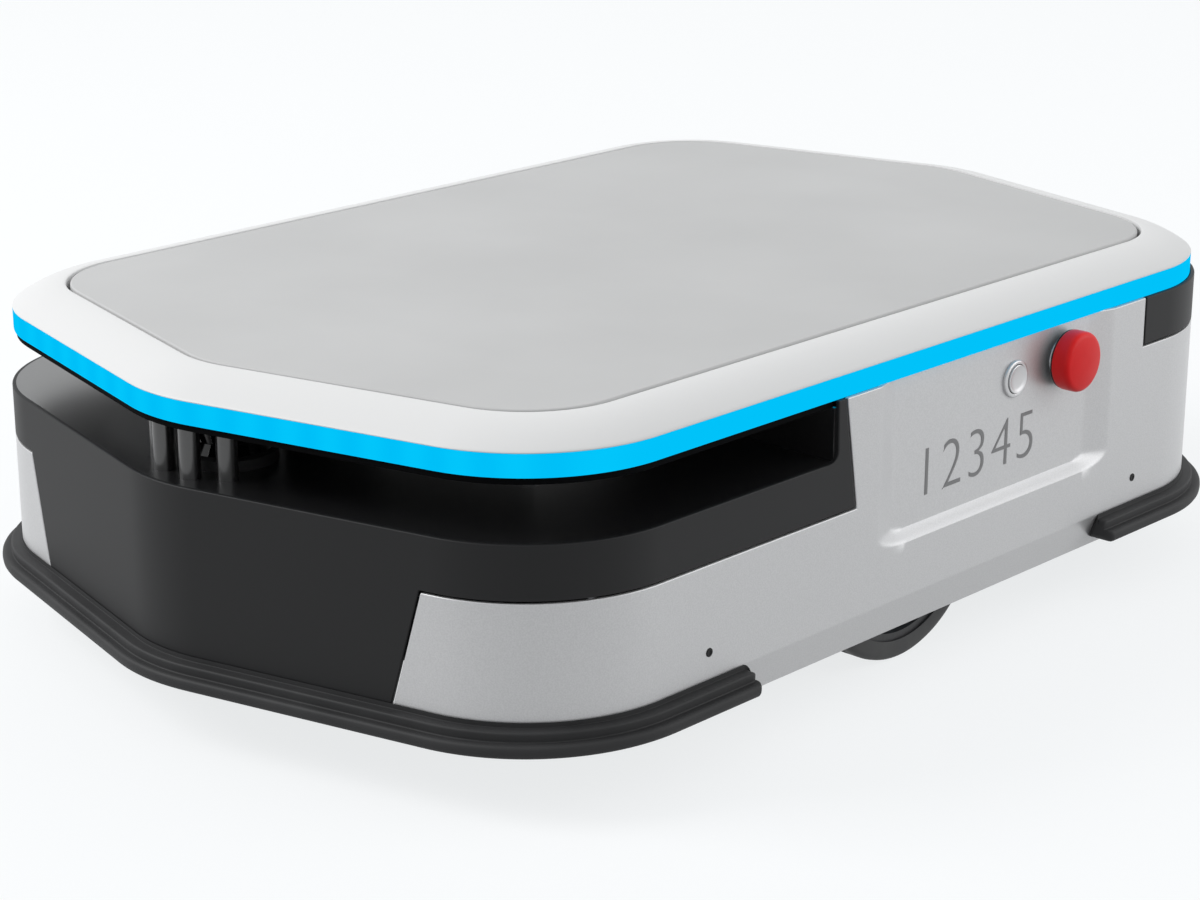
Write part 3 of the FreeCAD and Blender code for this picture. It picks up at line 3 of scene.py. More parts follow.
import bmesh
import bpy
import numpy as np
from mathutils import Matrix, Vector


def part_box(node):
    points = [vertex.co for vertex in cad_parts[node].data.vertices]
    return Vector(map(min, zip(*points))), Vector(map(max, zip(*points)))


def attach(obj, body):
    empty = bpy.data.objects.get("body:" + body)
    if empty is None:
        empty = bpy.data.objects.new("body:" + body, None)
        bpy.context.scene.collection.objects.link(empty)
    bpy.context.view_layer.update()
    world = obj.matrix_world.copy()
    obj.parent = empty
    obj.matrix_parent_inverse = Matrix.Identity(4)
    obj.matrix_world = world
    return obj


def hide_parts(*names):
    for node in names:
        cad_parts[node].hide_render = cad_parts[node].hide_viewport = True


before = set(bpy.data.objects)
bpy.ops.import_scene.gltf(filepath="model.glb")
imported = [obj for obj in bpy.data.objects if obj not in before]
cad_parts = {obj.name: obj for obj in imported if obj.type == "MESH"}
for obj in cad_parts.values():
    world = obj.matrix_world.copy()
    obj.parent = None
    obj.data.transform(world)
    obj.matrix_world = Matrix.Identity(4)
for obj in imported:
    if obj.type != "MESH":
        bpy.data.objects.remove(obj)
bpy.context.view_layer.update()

# ------------------------------------------------------------------ camera
# A long lens at the corner between the front and the control side, a little above the deck.
CAMERA_PLACE = (1.5455, -1.6543, 0.8414)
CAMERA_AZIMUTH = 43.54
CAMERA_ELEVATION = 18.03
CAMERA_LENS = 83.76

camera = bpy.data.objects.new("camera", bpy.data.cameras.new("camera"))
camera.data.sensor_width = 36
camera.data.lens = CAMERA_LENS
camera.data.clip_end = 100
camera.location = CAMERA_PLACE
camera.rotation_euler = (math.radians(90 - CAMERA_ELEVATION), 0, math.radians(CAMERA_AZIMUTH))
bpy.context.collection.objects.link(camera)
bpy.context.scene.camera = camera
bpy.context.scene.view_settings.view_transform = "Standard"


# ------------------------------------------------------------------ light strip
# A translucent acrylic ring, lit from inside, that runs all round the deck under the bezel.
# It is a moulded bar with softly rounded edges, bent round the plan outline of the deck.
STRIP_LOW, STRIP_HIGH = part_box("light_strip")
HALF_WIDTH = STRIP_HIGH.x
NOSE_TIP = STRIP_HIGH.y
SIDE_STRAIGHT = 0.316
CORNER_RADIUS = 0.125
NOSE_RADIUS = 0.140
STRIP_DEPTH = 0.014
STRIP_ROUND = 0.0008
LED_SPACING = 0.0167
SHARP = math.radians(38)
MERGE = 1e-6
END_SHARE = 0.5


def linear(text):
    """The colour written as sRGB hex, as linear red, green, blue and full alpha."""
    parts = np.array([int(text[step:step + 2], 16) for step in (1, 3, 5)]) / 255
    parts = np.where(parts <= 0.04045, parts / 12.92, ((parts + 0.055) / 1.055) ** 2.4)
    return (*parts.tolist(), 1.0)


def add(tree, kind, inputs=None, into=None, stops=(), **settings):
    """One node with its settings and links.

    Inputs are values or the sockets that feed it, and into is the socket that its first
    output feeds. Stops are the places and colours along a ramp.
    """
    made = tree.nodes.new("ShaderNode" + kind)
    for name, setting in settings.items():
        setattr(made, name, setting)
    for name, fed in (inputs or {}).items():
        if isinstance(fed, bpy.types.NodeSocket):
            tree.links.new(fed, made.inputs[name])
        else:
            made.inputs[name].default_value = fed
    for number, (share, colour) in enumerate(stops):
        made.color_ramp.elements[number].position = share
        made.color_ramp.elements[number].color = linear(colour)
    if into is not None:
        tree.links.new(made.outputs[0], into)
    return made


def surface(name, colour, roughness, metallic=0.0, **sockets):
    """A material with one Principled shader, its tree, its shader and its Object coordinates."""
    made = bpy.data.materials.new(name)
    made.use_nodes = True
    tree = made.node_tree
    shader = tree.nodes["Principled BSDF"]
    shader.inputs["Base Color"].default_value = linear(colour)
    shader.inputs["Roughness"].default_value = roughness
    shader.inputs["Metallic"].default_value = metallic
    for socket, fed in sockets.items():
        shader.inputs[socket.replace("_", " ")].default_value = fed
    place = add(tree, "TexCoord").outputs["Object"]
    return made, tree, shader, place


# Distances along the light strip's outer edge from the front nose tip to the middle of a
# side: end of the nose arc, end of the flat, end of the corner arc, middle of the side.
CORNER_X = HALF_WIDTH - CORNER_RADIUS
NOSE_Y = NOSE_TIP - NOSE_RADIUS
REACH = math.hypot(CORNER_X, NOSE_Y - SIDE_STRAIGHT)
LEAN = math.asin((NOSE_RADIUS - CORNER_RADIUS) / REACH)
LEAN += math.atan2(NOSE_Y - SIDE_STRAIGHT, CORNER_X)
FLAT = math.sqrt(REACH ** 2 - (NOSE_RADIUS - CORNER_RADIUS) ** 2)
NOSE_END = NOSE_RADIUS * LEAN
FLAT_END = NOSE_END + FLAT
CORNER_END = FLAT_END + CORNER_RADIUS * (math.pi / 2 - LEAN)
MIDDLE = CORNER_END + SIDE_STRAIGHT
ROUND = 2 * MIDDLE


def plan(along, out):
    """Points of the plan outline moved outwards, at distances along the light strip's edge.

    The outward direction turns evenly on the two arcs and stays fixed on the straights. A
    point is its arc's centre plus the radius and the offset along that direction, plus the
    run along the straight. Negative distances mirror in x, and those past the middle in y.
    """
    side = np.abs(along)
    rear = side > MIDDLE
    step = np.where(rear, ROUND - side, side)
    turn = np.clip(step, 0, NOSE_END) / NOSE_RADIUS
    turn = turn + np.clip(step - FLAT_END, 0, CORNER_END - FLAT_END) / CORNER_RADIUS
    nose = step < FLAT_END
    radius = np.where(nose, NOSE_RADIUS, CORNER_RADIUS) + out
    run = np.where(nose, np.clip(step - NOSE_END, 0, None), np.clip(step - CORNER_END, 0, None))
    x = np.where(nose, 0, CORNER_X) + radius * np.sin(turn) + run * np.cos(turn)
    y = -np.where(nose, NOSE_Y, SIDE_STRAIGHT) - radius * np.cos(turn) + run * np.sin(turn)
    return np.where(along < 0, -x, x), np.where(rear, -y, y)


def stations(start, end, arc=0.004, straight=0.05):
    """Distances from start to end, close together on arcs and further apart on straights."""
    marks = np.array([0, NOSE_END, FLAT_END, CORNER_END])
    marks = np.concatenate([marks, ROUND - marks])
    marks = np.unique(np.concatenate([marks, -marks, [start, end]]))
    marks = marks[(marks >= start - 1e-9) & (marks <= end + 1e-9)]
    runs = []
    for low, high in zip(marks, marks[1:]):
        middle = min(abs((low + high) / 2), ROUND - abs((low + high) / 2))
        bent = middle < NOSE_END or FLAT_END < middle < CORNER_END
        count = max(1, math.ceil((high - low) / (arc if bent else straight)))
        runs.append(np.linspace(low, high, count, endpoint=False))
    return np.concatenate(runs + [[end]])


def rounded(corners, cut, steps=4):
    """A closed profile whose corners are parabolas that start and end at a cut from them."""
    corner = np.array(corners, float)
    before = np.roll(corner, 1, 0) - corner
    after = np.roll(corner, -1, 0) - corner
    cut = np.broadcast_to(cut, len(corner))
    lengths = np.linalg.norm(before, axis=1), np.linalg.norm(after, axis=1)
    start = corner + before * (np.minimum(cut / lengths[0], 0.49))[:, None]
    end = corner + after * (np.minimum(cut / lengths[1], 0.49))[:, None]
    blend = np.linspace(0, 1, steps)[None, :, None]
    curve = (1 - blend) ** 2 * start[:, None] + blend ** 2 * end[:, None]
    return (curve + 2 * blend * (1 - blend) * corner[:, None]).reshape(-1, 2)


def solid(name, points, faces):
    """An object from points and faces, its doubles merged and its faces turned outwards."""
    mesh = bpy.data.meshes.new(name)
    mesh.from_pydata(points.reshape(-1, 3).tolist(), [], faces)
    work = bmesh.new()
    work.from_mesh(mesh)
    bmesh.ops.remove_doubles(work, verts=work.verts, dist=MERGE)
    loose = [edge for edge in work.edges if not edge.link_faces]
    bmesh.ops.delete(work, geom=loose, context="EDGES")
    bmesh.ops.recalc_face_normals(work, faces=work.faces)
    work.to_mesh(mesh)
    work.free()
    mesh.shade_smooth()
    mesh.set_sharp_from_angle(angle=SHARP)
    made = bpy.data.objects.new(name, mesh)
    bpy.context.collection.objects.link(made)
    return made


def lattice(name, points, closed=(True, True), cap=False):
    """A grid of points skinned with quads, joined up in the directions that close."""
    rows, columns = points.shape[:2]
    index = np.arange(rows * columns).reshape(rows, columns)
    right = np.roll(index, -1, 1)
    quads = np.stack([index, np.roll(index, -1, 0), np.roll(right, -1, 0), right], -1)
    quads = quads if closed[0] else quads[:-1]
    quads = quads if closed[1] else quads[:, :-1]
    faces = quads.reshape(-1, 4).tolist()
    if cap:
        faces += [index[0].tolist(), index[-1].tolist()]
    return solid(name, points, faces)


def swept(name, profile, start=-ROUND, end=ROUND, taper=0.0):
    """A closed profile of (out, height) carried round the plan outline.

    An open run is capped, and over its last stretch of length taper the profile shrinks
    towards its mean, down to a half, along a quarter circle that rounds its ends.
    """
    ring = end - start > 2 * ROUND - MERGE
    along = stations(start, end)
    if taper:
        tips = taper * (1 - np.cos(np.linspace(0, np.pi / 2, 7)))
        along = np.unique(np.concatenate([along, start + tips, end - tips]))
    along = along[:-1] if ring else along
    middle = profile.mean(0)
    near = np.clip(np.minimum(along - start, end - along) / max(taper, 1e-9), 0, 1)
    arch = np.sqrt(1 - (1 - near) ** 2)
    swell = END_SHARE + (1 - END_SHARE) * arch if taper else 1
    swell = np.broadcast_to(swell, along.shape)[:, None]
    out = middle[0] + (profile[None, :, 0] - middle[0]) * swell
    height = middle[1] + (profile[None, :, 1] - middle[1]) * swell
    x, y = plan(along[:, None], out)
    return lattice(name, np.stack([x, y, height], -1), (ring, True), not ring)


def dress(piece, material, body="chassis", replaced=()):
    """Gives a piece its material and slot, the body it moves with and the nodes it replaces."""
    piece.data.materials.clear()
    piece.data.materials.append(material)
    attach(piece, body)
    if replaced:
        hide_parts(*replaced)
    return piece


# Opal acrylic: the light of the diodes behind it is nearly even, with faint fuller patches. A
# wave texture of scale 1 repeats every 314 mm, so a wave of this scale takes two diodes.
opal, tree, shader, place = surface("lit_opal_acrylic", "#000C14", 0.4, Specular_IOR_Level=0.0)
WAVE_SCALE = 1 / LED_SPACING / 6.4
spots = add(tree, "TexWave", {"Vector": place, "Scale": WAVE_SCALE, "Distortion": 0.0})
glow = add(tree, "Mix", {"Factor": spots.outputs["Fac"]}, data_type="RGBA")
glow.inputs["A"].default_value = linear("#00C3FC")
glow.inputs["B"].default_value = linear("#02C9FF")
tree.links.new(glow.outputs["Result"], shader.inputs["Emission Color"])
shader.inputs["Emission Strength"].default_value = 0.96

strip_profile = rounded(
    [
        (-STRIP_DEPTH, STRIP_LOW.z),
        (0, STRIP_LOW.z),
        (0, STRIP_HIGH.z),
        (-STRIP_DEPTH, STRIP_HIGH.z),
    ],
    STRIP_ROUND,
)
dress(swept("light_guide", strip_profile), opal, replaced=["light_strip"])

# ------------------------------------------------------------------ deck bezel
# White sprayed ring that rises from the light strip to the load plate. It is moulded with
# a small upright lip, a gently crowned slope and a crisp rounded edge at the plate's seam.
BEZEL_LOW, BEZEL_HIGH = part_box("deck_bezel")
BEZEL_WIDTH = 0.0431
BEZEL_LIP = 0.0012
BEZEL_GAP = 0.0003
BEZEL_CROWN = 1.8
LIP_ROUND = 0.0025
SEAM_ROUND = 0.0022
BEZEL_EDGE = 0.0008

slope = np.linspace(0, 1, 14)
crown = 1 - (1 - slope) ** BEZEL_CROWN
rise = BEZEL_HIGH.z - BEZEL_LOW.z - BEZEL_LIP
slope_line = np.stack([-BEZEL_WIDTH * slope, BEZEL_LOW.z + BEZEL_LIP + rise * crown], -1)
bezel_corners = np.concatenate(
    [
        [
            (-BEZEL_WIDTH, BEZEL_LOW.z + 2 * BEZEL_GAP),
            (-STRIP_DEPTH, BEZEL_LOW.z + BEZEL_GAP),
            (0, BEZEL_LOW.z + BEZEL_GAP),
        ],
        slope_line,
    ]
)
bezel_cuts = np.full(len(bezel_corners), BEZEL_EDGE)
bezel_cuts[3] = LIP_ROUND
bezel_cuts[-1] = SEAM_ROUND

# Sprayed enamel: near white and softly shiny, with the faint unevenness of a sprayed coat.
enamel, tree, shader, place = surface("white_enamel", "#E8E8E8", 0.4, Specular_IOR_Level=0.25)
peel = add(tree, "TexNoise", {"Vector": place, "Scale": 260.0, "Detail": 2.0})
unevenness = {"Height": peel.outputs["Fac"], "Strength": 0.05, "Distance": 0.0004}
add(tree, "Bump", unevenness, into=shader.inputs["Normal"])
bezel = swept("bezel_ring", rounded(bezel_corners, bezel_cuts, 3))
dress(bezel, enamel, replaced=["deck_bezel"])


# ------------------------------------------------------------------ load plate
# Folded aluminium plate with a flange all round, sprayed with a fine textured grey paint. It
# stands on the lift's legs and drops into the bezel with an even gap.
PLATE_EDGE = 0.0018
PLATE_MERGE = 2e-6
PLATE_FLAT = math.radians(0.5)


def softened(node, width, body, material):
    """A copy of a CAD node with its doubles merged and its edges bevelled by a small width."""
    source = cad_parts[node]
    made = bpy.data.objects.new(node + "_finished", source.data.copy())
    bpy.context.collection.objects.link(made)
    work = bmesh.new()
    work.from_mesh(made.data)
    bmesh.ops.remove_doubles(work, verts=work.verts, dist=PLATE_MERGE)
    bmesh.ops.dissolve_limit(work, angle_limit=PLATE_FLAT, verts=work.verts, edges=work.edges)
    work.to_mesh(made.data)
    work.free()
    made.data.shade_smooth()
    made.data.set_sharp_from_angle(angle=SHARP)
    bevel = made.modifiers.new("edges", "BEVEL")
    bevel.width = width
    bevel.segments = 2
    bevel.limit_method = "ANGLE"
    bevel.angle_limit = math.radians(50)
    bevel.harden_normals = True
    return dress(made, material, body, [node])


# Textured paint: grains about 0.6 mm across, drawn at 1.5 mm so that they show, and slow
# changes of tone from handling.
plate_paint, tree, shader, place = surface("textured_grey_paint", "#C3C3C3", 0.55)
grain = add(tree, "TexNoise", {"Vector": place, "Scale": 650.0, "Detail": 2.0})
drift = add(tree, "TexNoise", {"Vector": place, "Scale": 5.0, "Detail": 4.0})
tones = [(0.3, "#C1C1C1"), (0.7, "#C8C8C8")]
add(tree, "ValToRGB", {"Fac": drift.outputs["Fac"]}, shader.inputs["Base Color"], tones)
texture = {"Height": grain.outputs["Fac"], "Strength": 0.18, "Distance": 0.0003}
add(tree, "Bump", texture, shader.inputs["Normal"])
softened("load_plate", PLATE_EDGE, "lift", plate_paint)

# ------------------------------------------------------------------ side panels
# Pressed sheet, nearly 4 mm, wrapped round the corners and sprayed with satin silver. Each has a
# bevel at its foot and a shallow recess for the controls, whose sill slopes at the bottom.
BODY_STEP = 0.004
WALL = 0.0038
EDGE_ROUND = 0.001
SEAM = 0.0015
PANEL_LOW, PANEL_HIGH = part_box("side_panel_right")
# The panels and covers end just above the underside of the light strip, so no gap shows.
PANEL_TOP = STRIP_LOW.z + 0.0006
BEVEL_TOP = 0.0695
BEVEL_INSET = 0.012
BAND_LOW = 0.158
REAR_LOW = 0.205
REAR_END = 0.281
COVER_END = 0.101
COVER_LEAN = 0.014
APRON_LOW = 0.191
APRON_HIGH = 0.224
REAR_APRON = 0.236
RECESS_FRONT = -0.074
RECESS_REAR = 0.234
RECESS_LOW = 0.1135
RECESS_DEPTH = 0.008
RECESS_MARGIN = 0.008
RECESS_BEND = 0.029
RECESS_ROUND = 0.0125
RECESS_SLOPE = 0.0084
RECESS_EASE = 3.2
RECESS_SOFT = 0.15
CREASE_HALF = 0.0012


def at_side(y):
    """Distance along the outline of a place on the straight side."""
    return MIDDLE + y


def at_front(x):
    """Distance along the outline of a place across the front of the body's face: on the
    flat its run over the cosine of the lean, and on the corner the arc's own angle."""
    flat = NOSE_END + (x - (NOSE_RADIUS + BODY_STEP) * math.sin(LEAN)) / math.cos(LEAN)
    share = np.clip((x - CORNER_X) / (CORNER_RADIUS + BODY_STEP), 0, 1)
    corner = FLAT_END + CORNER_RADIUS * (np.arcsin(share) - LEAN)
    return np.where(flat < FLAT_END, flat, corner)


def apron_edge(half_foot, half_top, top, gap):
    """The apron's slanted edge: a straight line from its foot to its top, upright above."""

    def edge(z):
        share = (np.minimum(z, top + 0.001) - PANEL_LOW.z + 0.001) / (top - PANEL_LOW.z + 0.002)
        return at_front(half_foot + (half_top - half_foot) * share + gap)

    return edge


def cover_edge(gap):
    """The front cover's rear edge on the side: upright below the band, leaning above it."""

    def edge(z):
        share = np.clip((z - BAND_LOW) / (PANEL_HIGH.z - BAND_LOW), 0, 1)
        return at_side(-COVER_END - COVER_LEAN * share + gap)

    return edge


def pressed(along, z):
    """Depth of the control recess: nothing outside a rounded rectangle that is open at the
    top, its full depth inside, and a slope with eased ends between them. The upright
    slopes are wider than the sill's by the factor of ease."""
    y = along - MIDDLE
    across = np.abs(y - (RECESS_FRONT + RECESS_REAR) / 2) - (RECESS_REAR - RECESS_FRONT) / 2
    q = np.stack([across / RECESS_EASE, RECESS_LOW - z]) + RECESS_ROUND
    inside = RECESS_ROUND - np.linalg.norm(np.clip(q, 0, None), axis=0) - np.minimum(q.max(0), 0)
    share = np.clip(inside / RECESS_SLOPE, 0, 1)
    eased = share ** 2 * (3 - 2 * share)
    return RECESS_DEPTH * ((1 - RECESS_SOFT) * share + RECESS_SOFT * eased)


CREASE = [BEVEL_TOP - CREASE_HALF, BEVEL_TOP, BEVEL_TOP + CREASE_HALF]


def sheet_piece(name, lines, rows, depth=None):
    """A sheet on the body's face with straight or slanted edges.

    Columns are spread evenly between each line and the next, and rows lie at the given
    heights. The face leans in by the foot bevel below its top and by the pressed depth. Only
    the cells between the heights given for a line's stretch are kept.
    """
    z = np.unique(np.round(rows, 5))
    where = []
    for line, count, spans in lines:
        where.append(np.broadcast_to(line(z) if callable(line) else line, z.shape))
    columns = []
    kept = []
    centre = (z[1:] + z[:-1]) / 2
    for left, right, (line, count, spans) in zip(where, where[1:], lines):
        blend = np.arange(count)[:, None] / count
        columns.append(left + (right - left) * blend)
        inside = np.zeros(centre.shape, bool)
        for low, high in spans:
            inside |= (centre > low) & (centre < high)
        kept.append(np.broadcast_to(inside, (count, len(centre))))
    along = np.concatenate(columns + [where[-1][None]])
    height = np.broadcast_to(z, along.shape)
    lean_in = BEVEL_INSET * np.clip((BEVEL_TOP - height) / (BEVEL_TOP - PANEL_LOW.z), 0, 1)
    sunk = depth(along, height) if depth else 0
    x, y = plan(along, BODY_STEP - lean_in - sunk)
    index = np.arange(along.size).reshape(along.shape)
    quads = np.stack([index[:-1, :-1], index[1:, :-1], index[1:, 1:], index[:-1, 1:]], -1)
    quads = quads[np.concatenate(kept)]
    used, packed = np.unique(quads, return_inverse=True)
    points = np.stack([x, y, height], -1).reshape(-1, 3)[used]
    return solid(name, points, packed.reshape(-1, 4).tolist())


def thickened(piece):
    """Gives a sheet its wall inwards and a small round on its edges."""
    wall = piece.modifiers.new("wall", "SOLIDIFY")
    wall.thickness = WALL
    wall.offset = -1
    wall.use_even_offset = True
    bevel = piece.modifiers.new("edges", "BEVEL")
    bevel.width = EDGE_ROUND
    bevel.segments = 2
    bevel.limit_method = "ANGLE"
    bevel.angle_limit = math.radians(60)
    bevel.harden_normals = True
    return piece


def mirrored(piece, name, flip=(-1, 1, 1)):
    """The piece's mirror image, its coordinates times flip, with its faces outwards again."""
    made = bpy.data.objects.new(name, piece.data.copy())
    bpy.context.collection.objects.link(made)
    count = len(made.data.vertices)
    places = np.empty(count * 3)
    made.data.vertices.foreach_get("co", places)
    places = places.reshape(-1, 3) * flip
    made.data.vertices.foreach_set("co", places.ravel())
    made.data.flip_normals()
    return made


def outwards(piece):
    """Turns an open sheet's faces away from the middle of the robot."""
    mesh = piece.data
    centres = np.empty(len(mesh.polygons) * 3)
    normals = np.empty(len(mesh.polygons) * 3)
    mesh.polygons.foreach_get("center", centres)
    mesh.polygons.foreach_get("normal", normals)
    facing = (centres.reshape(-1, 3)[:, :2] * normals.reshape(-1, 3)[:, :2]).sum()
    if facing < 0:
        mesh.flip_normals()
    return piece


# Satin silver paint: a metallic base coat whose flakes, 0.1 mm, are drawn at 1 mm.
silver, tree, shader, place = surface(
    "satin_silver_paint", "#CBCBCC", 0.4, 0.45, Coat_Weight=0.2, Coat_Roughness=0.3
)
flake = add(tree, "TexNoise", {"Vector": place, "Scale": 900.0, "Detail": 1.0})
tones = [(0.35, "#C8C8C9"), (0.65, "#D0D0D1")]
add(tree, "ValToRGB", {"Fac": flake.outputs["Fac"]}, shader.inputs["Base Color"], tones)
sparkle = {"Height": flake.outputs["Fac"], "Strength": 0.06, "Distance": 0.0003}
add(tree, "Bump", sparkle, shader.inputs["Normal"])

PANEL_SPANS = {
    "front": [(PANEL_LOW.z, BAND_LOW - SEAM)],
    "side": [(PANEL_LOW.z, PANEL_TOP)],
    "rear": [(PANEL_LOW.z, REAR_LOW - SEAM)],
}
panel_rows = np.concatenate(
    [
        [PANEL_LOW.z, *CREASE, 0.09, 0.105],
        np.linspace(RECESS_LOW, RECESS_LOW + RECESS_SLOPE, 6),
        np.linspace(RECESS_LOW + RECESS_SLOPE, BAND_LOW - SEAM, 18),
        np.linspace(BAND_LOW - SEAM, REAR_LOW - SEAM, 12),
        np.linspace(REAR_LOW - SEAM, PANEL_TOP, 10),
    ]
)
# The rear corner's columns stop short of its arc's end, where the slanted edge begins.
ARC_STOP = FLAT_END + 0.02
rear_edge = apron_edge(APRON_LOW, REAR_APRON, REAR_LOW, SEAM)
panel_lines = [
    (apron_edge(APRON_LOW, APRON_HIGH, BAND_LOW, SEAM), 2, PANEL_SPANS["front"]),
    (FLAT_END, 36, PANEL_SPANS["front"]),
    (CORNER_END, 5, PANEL_SPANS["front"]),
    (cover_edge(SEAM), 2, PANEL_SPANS["side"]),
    (at_side(RECESS_FRONT - RECESS_MARGIN), 18, PANEL_SPANS["side"]),
    (at_side(RECESS_FRONT + RECESS_BEND), 60, PANEL_SPANS["side"]),
    (at_side(RECESS_REAR - RECESS_BEND), 18, PANEL_SPANS["side"]),
    (at_side(RECESS_REAR + RECESS_MARGIN), 3, PANEL_SPANS["side"]),
    (at_side(REAR_END - SEAM), 3, PANEL_SPANS["rear"]),
    (ROUND - CORNER_END, 30, PANEL_SPANS["rear"]),
    (ROUND - ARC_STOP, 14, PANEL_SPANS["rear"]),
    (lambda z: ROUND - rear_edge(z), 0, []),
]
right_panel = outwards(sheet_piece("panel_right", panel_lines, panel_rows, pressed))
left_panel = mirrored(right_panel, "panel_left")
for piece, node in ((right_panel, "side_panel_right"), (left_panel, "side_panel_left")):
    dress(thickened(piece), silver, replaced=[node])

# ------------------------------------------------------------------ front cover
# Black moulded ABS round the nose: a band under the scanner slot with a post at each end,
# and an apron down to the bumper.
SLOT_LOW = 0.199
SLOT_END = 0.123
SLOT_LEAN = 0.001
SLOT_ROUND = 0.008
SLOT_TOP = PANEL_HIGH.z + 0.0005


def slot_edge(z):
    """The slot's rear end on the side: a quarter circle at its foot, leaning above that."""
    up = np.clip(z - SLOT_LOW, 0, None)
    rounding = SLOT_ROUND - np.sqrt(SLOT_ROUND ** 2 - np.clip(SLOT_ROUND - up, 0, None) ** 2)
    share = up / (SLOT_TOP - SLOT_LOW)
    return at_side(-SLOT_END - SLOT_LEAN * share - rounding)


# Black ABS: fine spark-eroded grain, 0.3 mm, drawn at 1 mm, with a satin sheen.
black_abs, tree, shader, place = surface("black_abs", "#1E1E1F", 0.5, Specular_IOR_Level=0.24)
grain = add(tree, "TexNoise", {"Vector": place, "Scale": 1000.0, "Detail": 2.0})
erosion = {"Height": grain.outputs["Fac"], "Strength": 0.15, "Distance": 0.0002}
add(tree, "Bump", erosion, shader.inputs["Normal"])

BAND_SPAN = [(BAND_LOW, SLOT_LOW)]
APRON_SPAN = [(PANEL_LOW.z, SLOT_LOW)]
POST_SPAN = [(BAND_LOW, PANEL_TOP)]
front_rows = np.concatenate(
    [
        [PANEL_LOW.z, *CREASE, 0.1, 0.13, BAND_LOW, 0.178],
        SLOT_LOW + SLOT_ROUND * (1 - np.cos(np.linspace(0, np.pi / 2, 6))),
        [0.22, PANEL_TOP],
    ]
)
front_apron = apron_edge(APRON_LOW, APRON_HIGH, BAND_LOW, 0)


def opposite(line):
    """A line's mirror image on the left side."""
    return lambda z: -(line(z) if callable(line) else line)


right_lines = [
    (NOSE_END, 12, APRON_SPAN),
    (front_apron, 3, BAND_SPAN),
    (FLAT_END, 36, BAND_SPAN),
    (CORNER_END, 6, BAND_SPAN),
    (slot_edge, 3, POST_SPAN),
    (cover_edge(0), 0, []),
]
left_lines = []
for (_, count, spans), (after, _, _) in zip(right_lines, right_lines[1:]):
    left_lines.insert(0, (opposite(after), count, spans))
front_lines = left_lines + [(-NOSE_END, 10, APRON_SPAN)] + right_lines
front_cover = outwards(sheet_piece("front_moulding", front_lines, front_rows))
dress(thickened(front_cover), black_abs, replaced=["front_cover"])

# ------------------------------------------------------------------ rear cover
# The same black ABS round the rear nose, with a window for the charging contacts. It is
# moulded in one piece and clips to the body; here one half is made and mirrored.
WINDOW_HALF = 0.054
WINDOW_LOW = 0.112
WINDOW_HIGH = 0.142
REAR_BAND_SPAN = [(REAR_LOW, PANEL_TOP)]
REAR_APRON_SPAN = [(PANEL_LOW.z, PANEL_TOP)]
WINDOW_SPAN = [(PANEL_LOW.z, WINDOW_LOW), (WINDOW_HIGH, PANEL_TOP)]
rear_rows = [PANEL_LOW.z, *CREASE, 0.09, WINDOW_LOW, WINDOW_HIGH, 0.17, REAR_LOW, 0.22, PANEL_TOP]
rear_apron = apron_edge(APRON_LOW, REAR_APRON, REAR_LOW, 0)
rear_right = [
    (at_side(REAR_END), 3, REAR_BAND_SPAN),
    (ROUND - CORNER_END, 30, REAR_BAND_SPAN),
    (ROUND - ARC_STOP, 14, REAR_BAND_SPAN),
    (lambda z: ROUND - rear_apron(z), 8, REAR_APRON_SPAN),
    (ROUND - at_front(WINDOW_HALF), 2, WINDOW_SPAN),
    (ROUND - NOSE_END, 6, WINDOW_SPAN),
    (ROUND, 0, []),
]
right_half = outwards(sheet_piece("rear_moulding", rear_right, rear_rows))
left_half = mirrored(right_half, "rear_moulding_left")
work = bmesh.new()
work.from_mesh(right_half.data)
work.from_mesh(left_half.data)
bmesh.ops.remove_doubles(work, verts=work.verts, dist=MERGE)
work.to_mesh(right_half.data)
work.free()
bpy.data.objects.remove(left_half)
dress(thickened(right_half), black_abs, replaced=["rear_cover"])

# ------------------------------------------------------------------ bumpers
# Extruded rubber strips, front and rear, that wrap the corners: a rounded bead with a
# groove above it and a thin lip against the body.
BUMPER_LOW, BUMPER_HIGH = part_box("bumper_front")
BUMPER_REACH = BUMPER_HIGH.x - HALF_WIDTH
BUMPER_END = 0.2225
BUMPER_FIT = 0.0004
BUMPER_ROOT = 0.004
BUMPER_BACK = BODY_STEP + BUMPER_FIT
LIP_LOW = BUMPER_HIGH.z - 0.006
GROOVE_DEPTH = 0.008
BUMPER_TAPER = 0.005
bumper_corners = [
    (-BUMPER_ROOT, BUMPER_LOW.z + BUMPER_FIT),
    (BUMPER_REACH, BUMPER_LOW.z + BUMPER_FIT),
    (BUMPER_REACH, LIP_LOW - 0.001),
    (BUMPER_REACH - GROOVE_DEPTH, LIP_LOW - 0.0015),
    (BUMPER_REACH - GROOVE_DEPTH + 0.0005, BUMPER_HIGH.z),
    (BUMPER_BACK, BUMPER_HIGH.z),
    (BUMPER_BACK, BEVEL_TOP),
]
bumper_cuts = [0.0005, 0.0055, 0.004, 0.0012, 0.002, 0.0005, 0.0003]

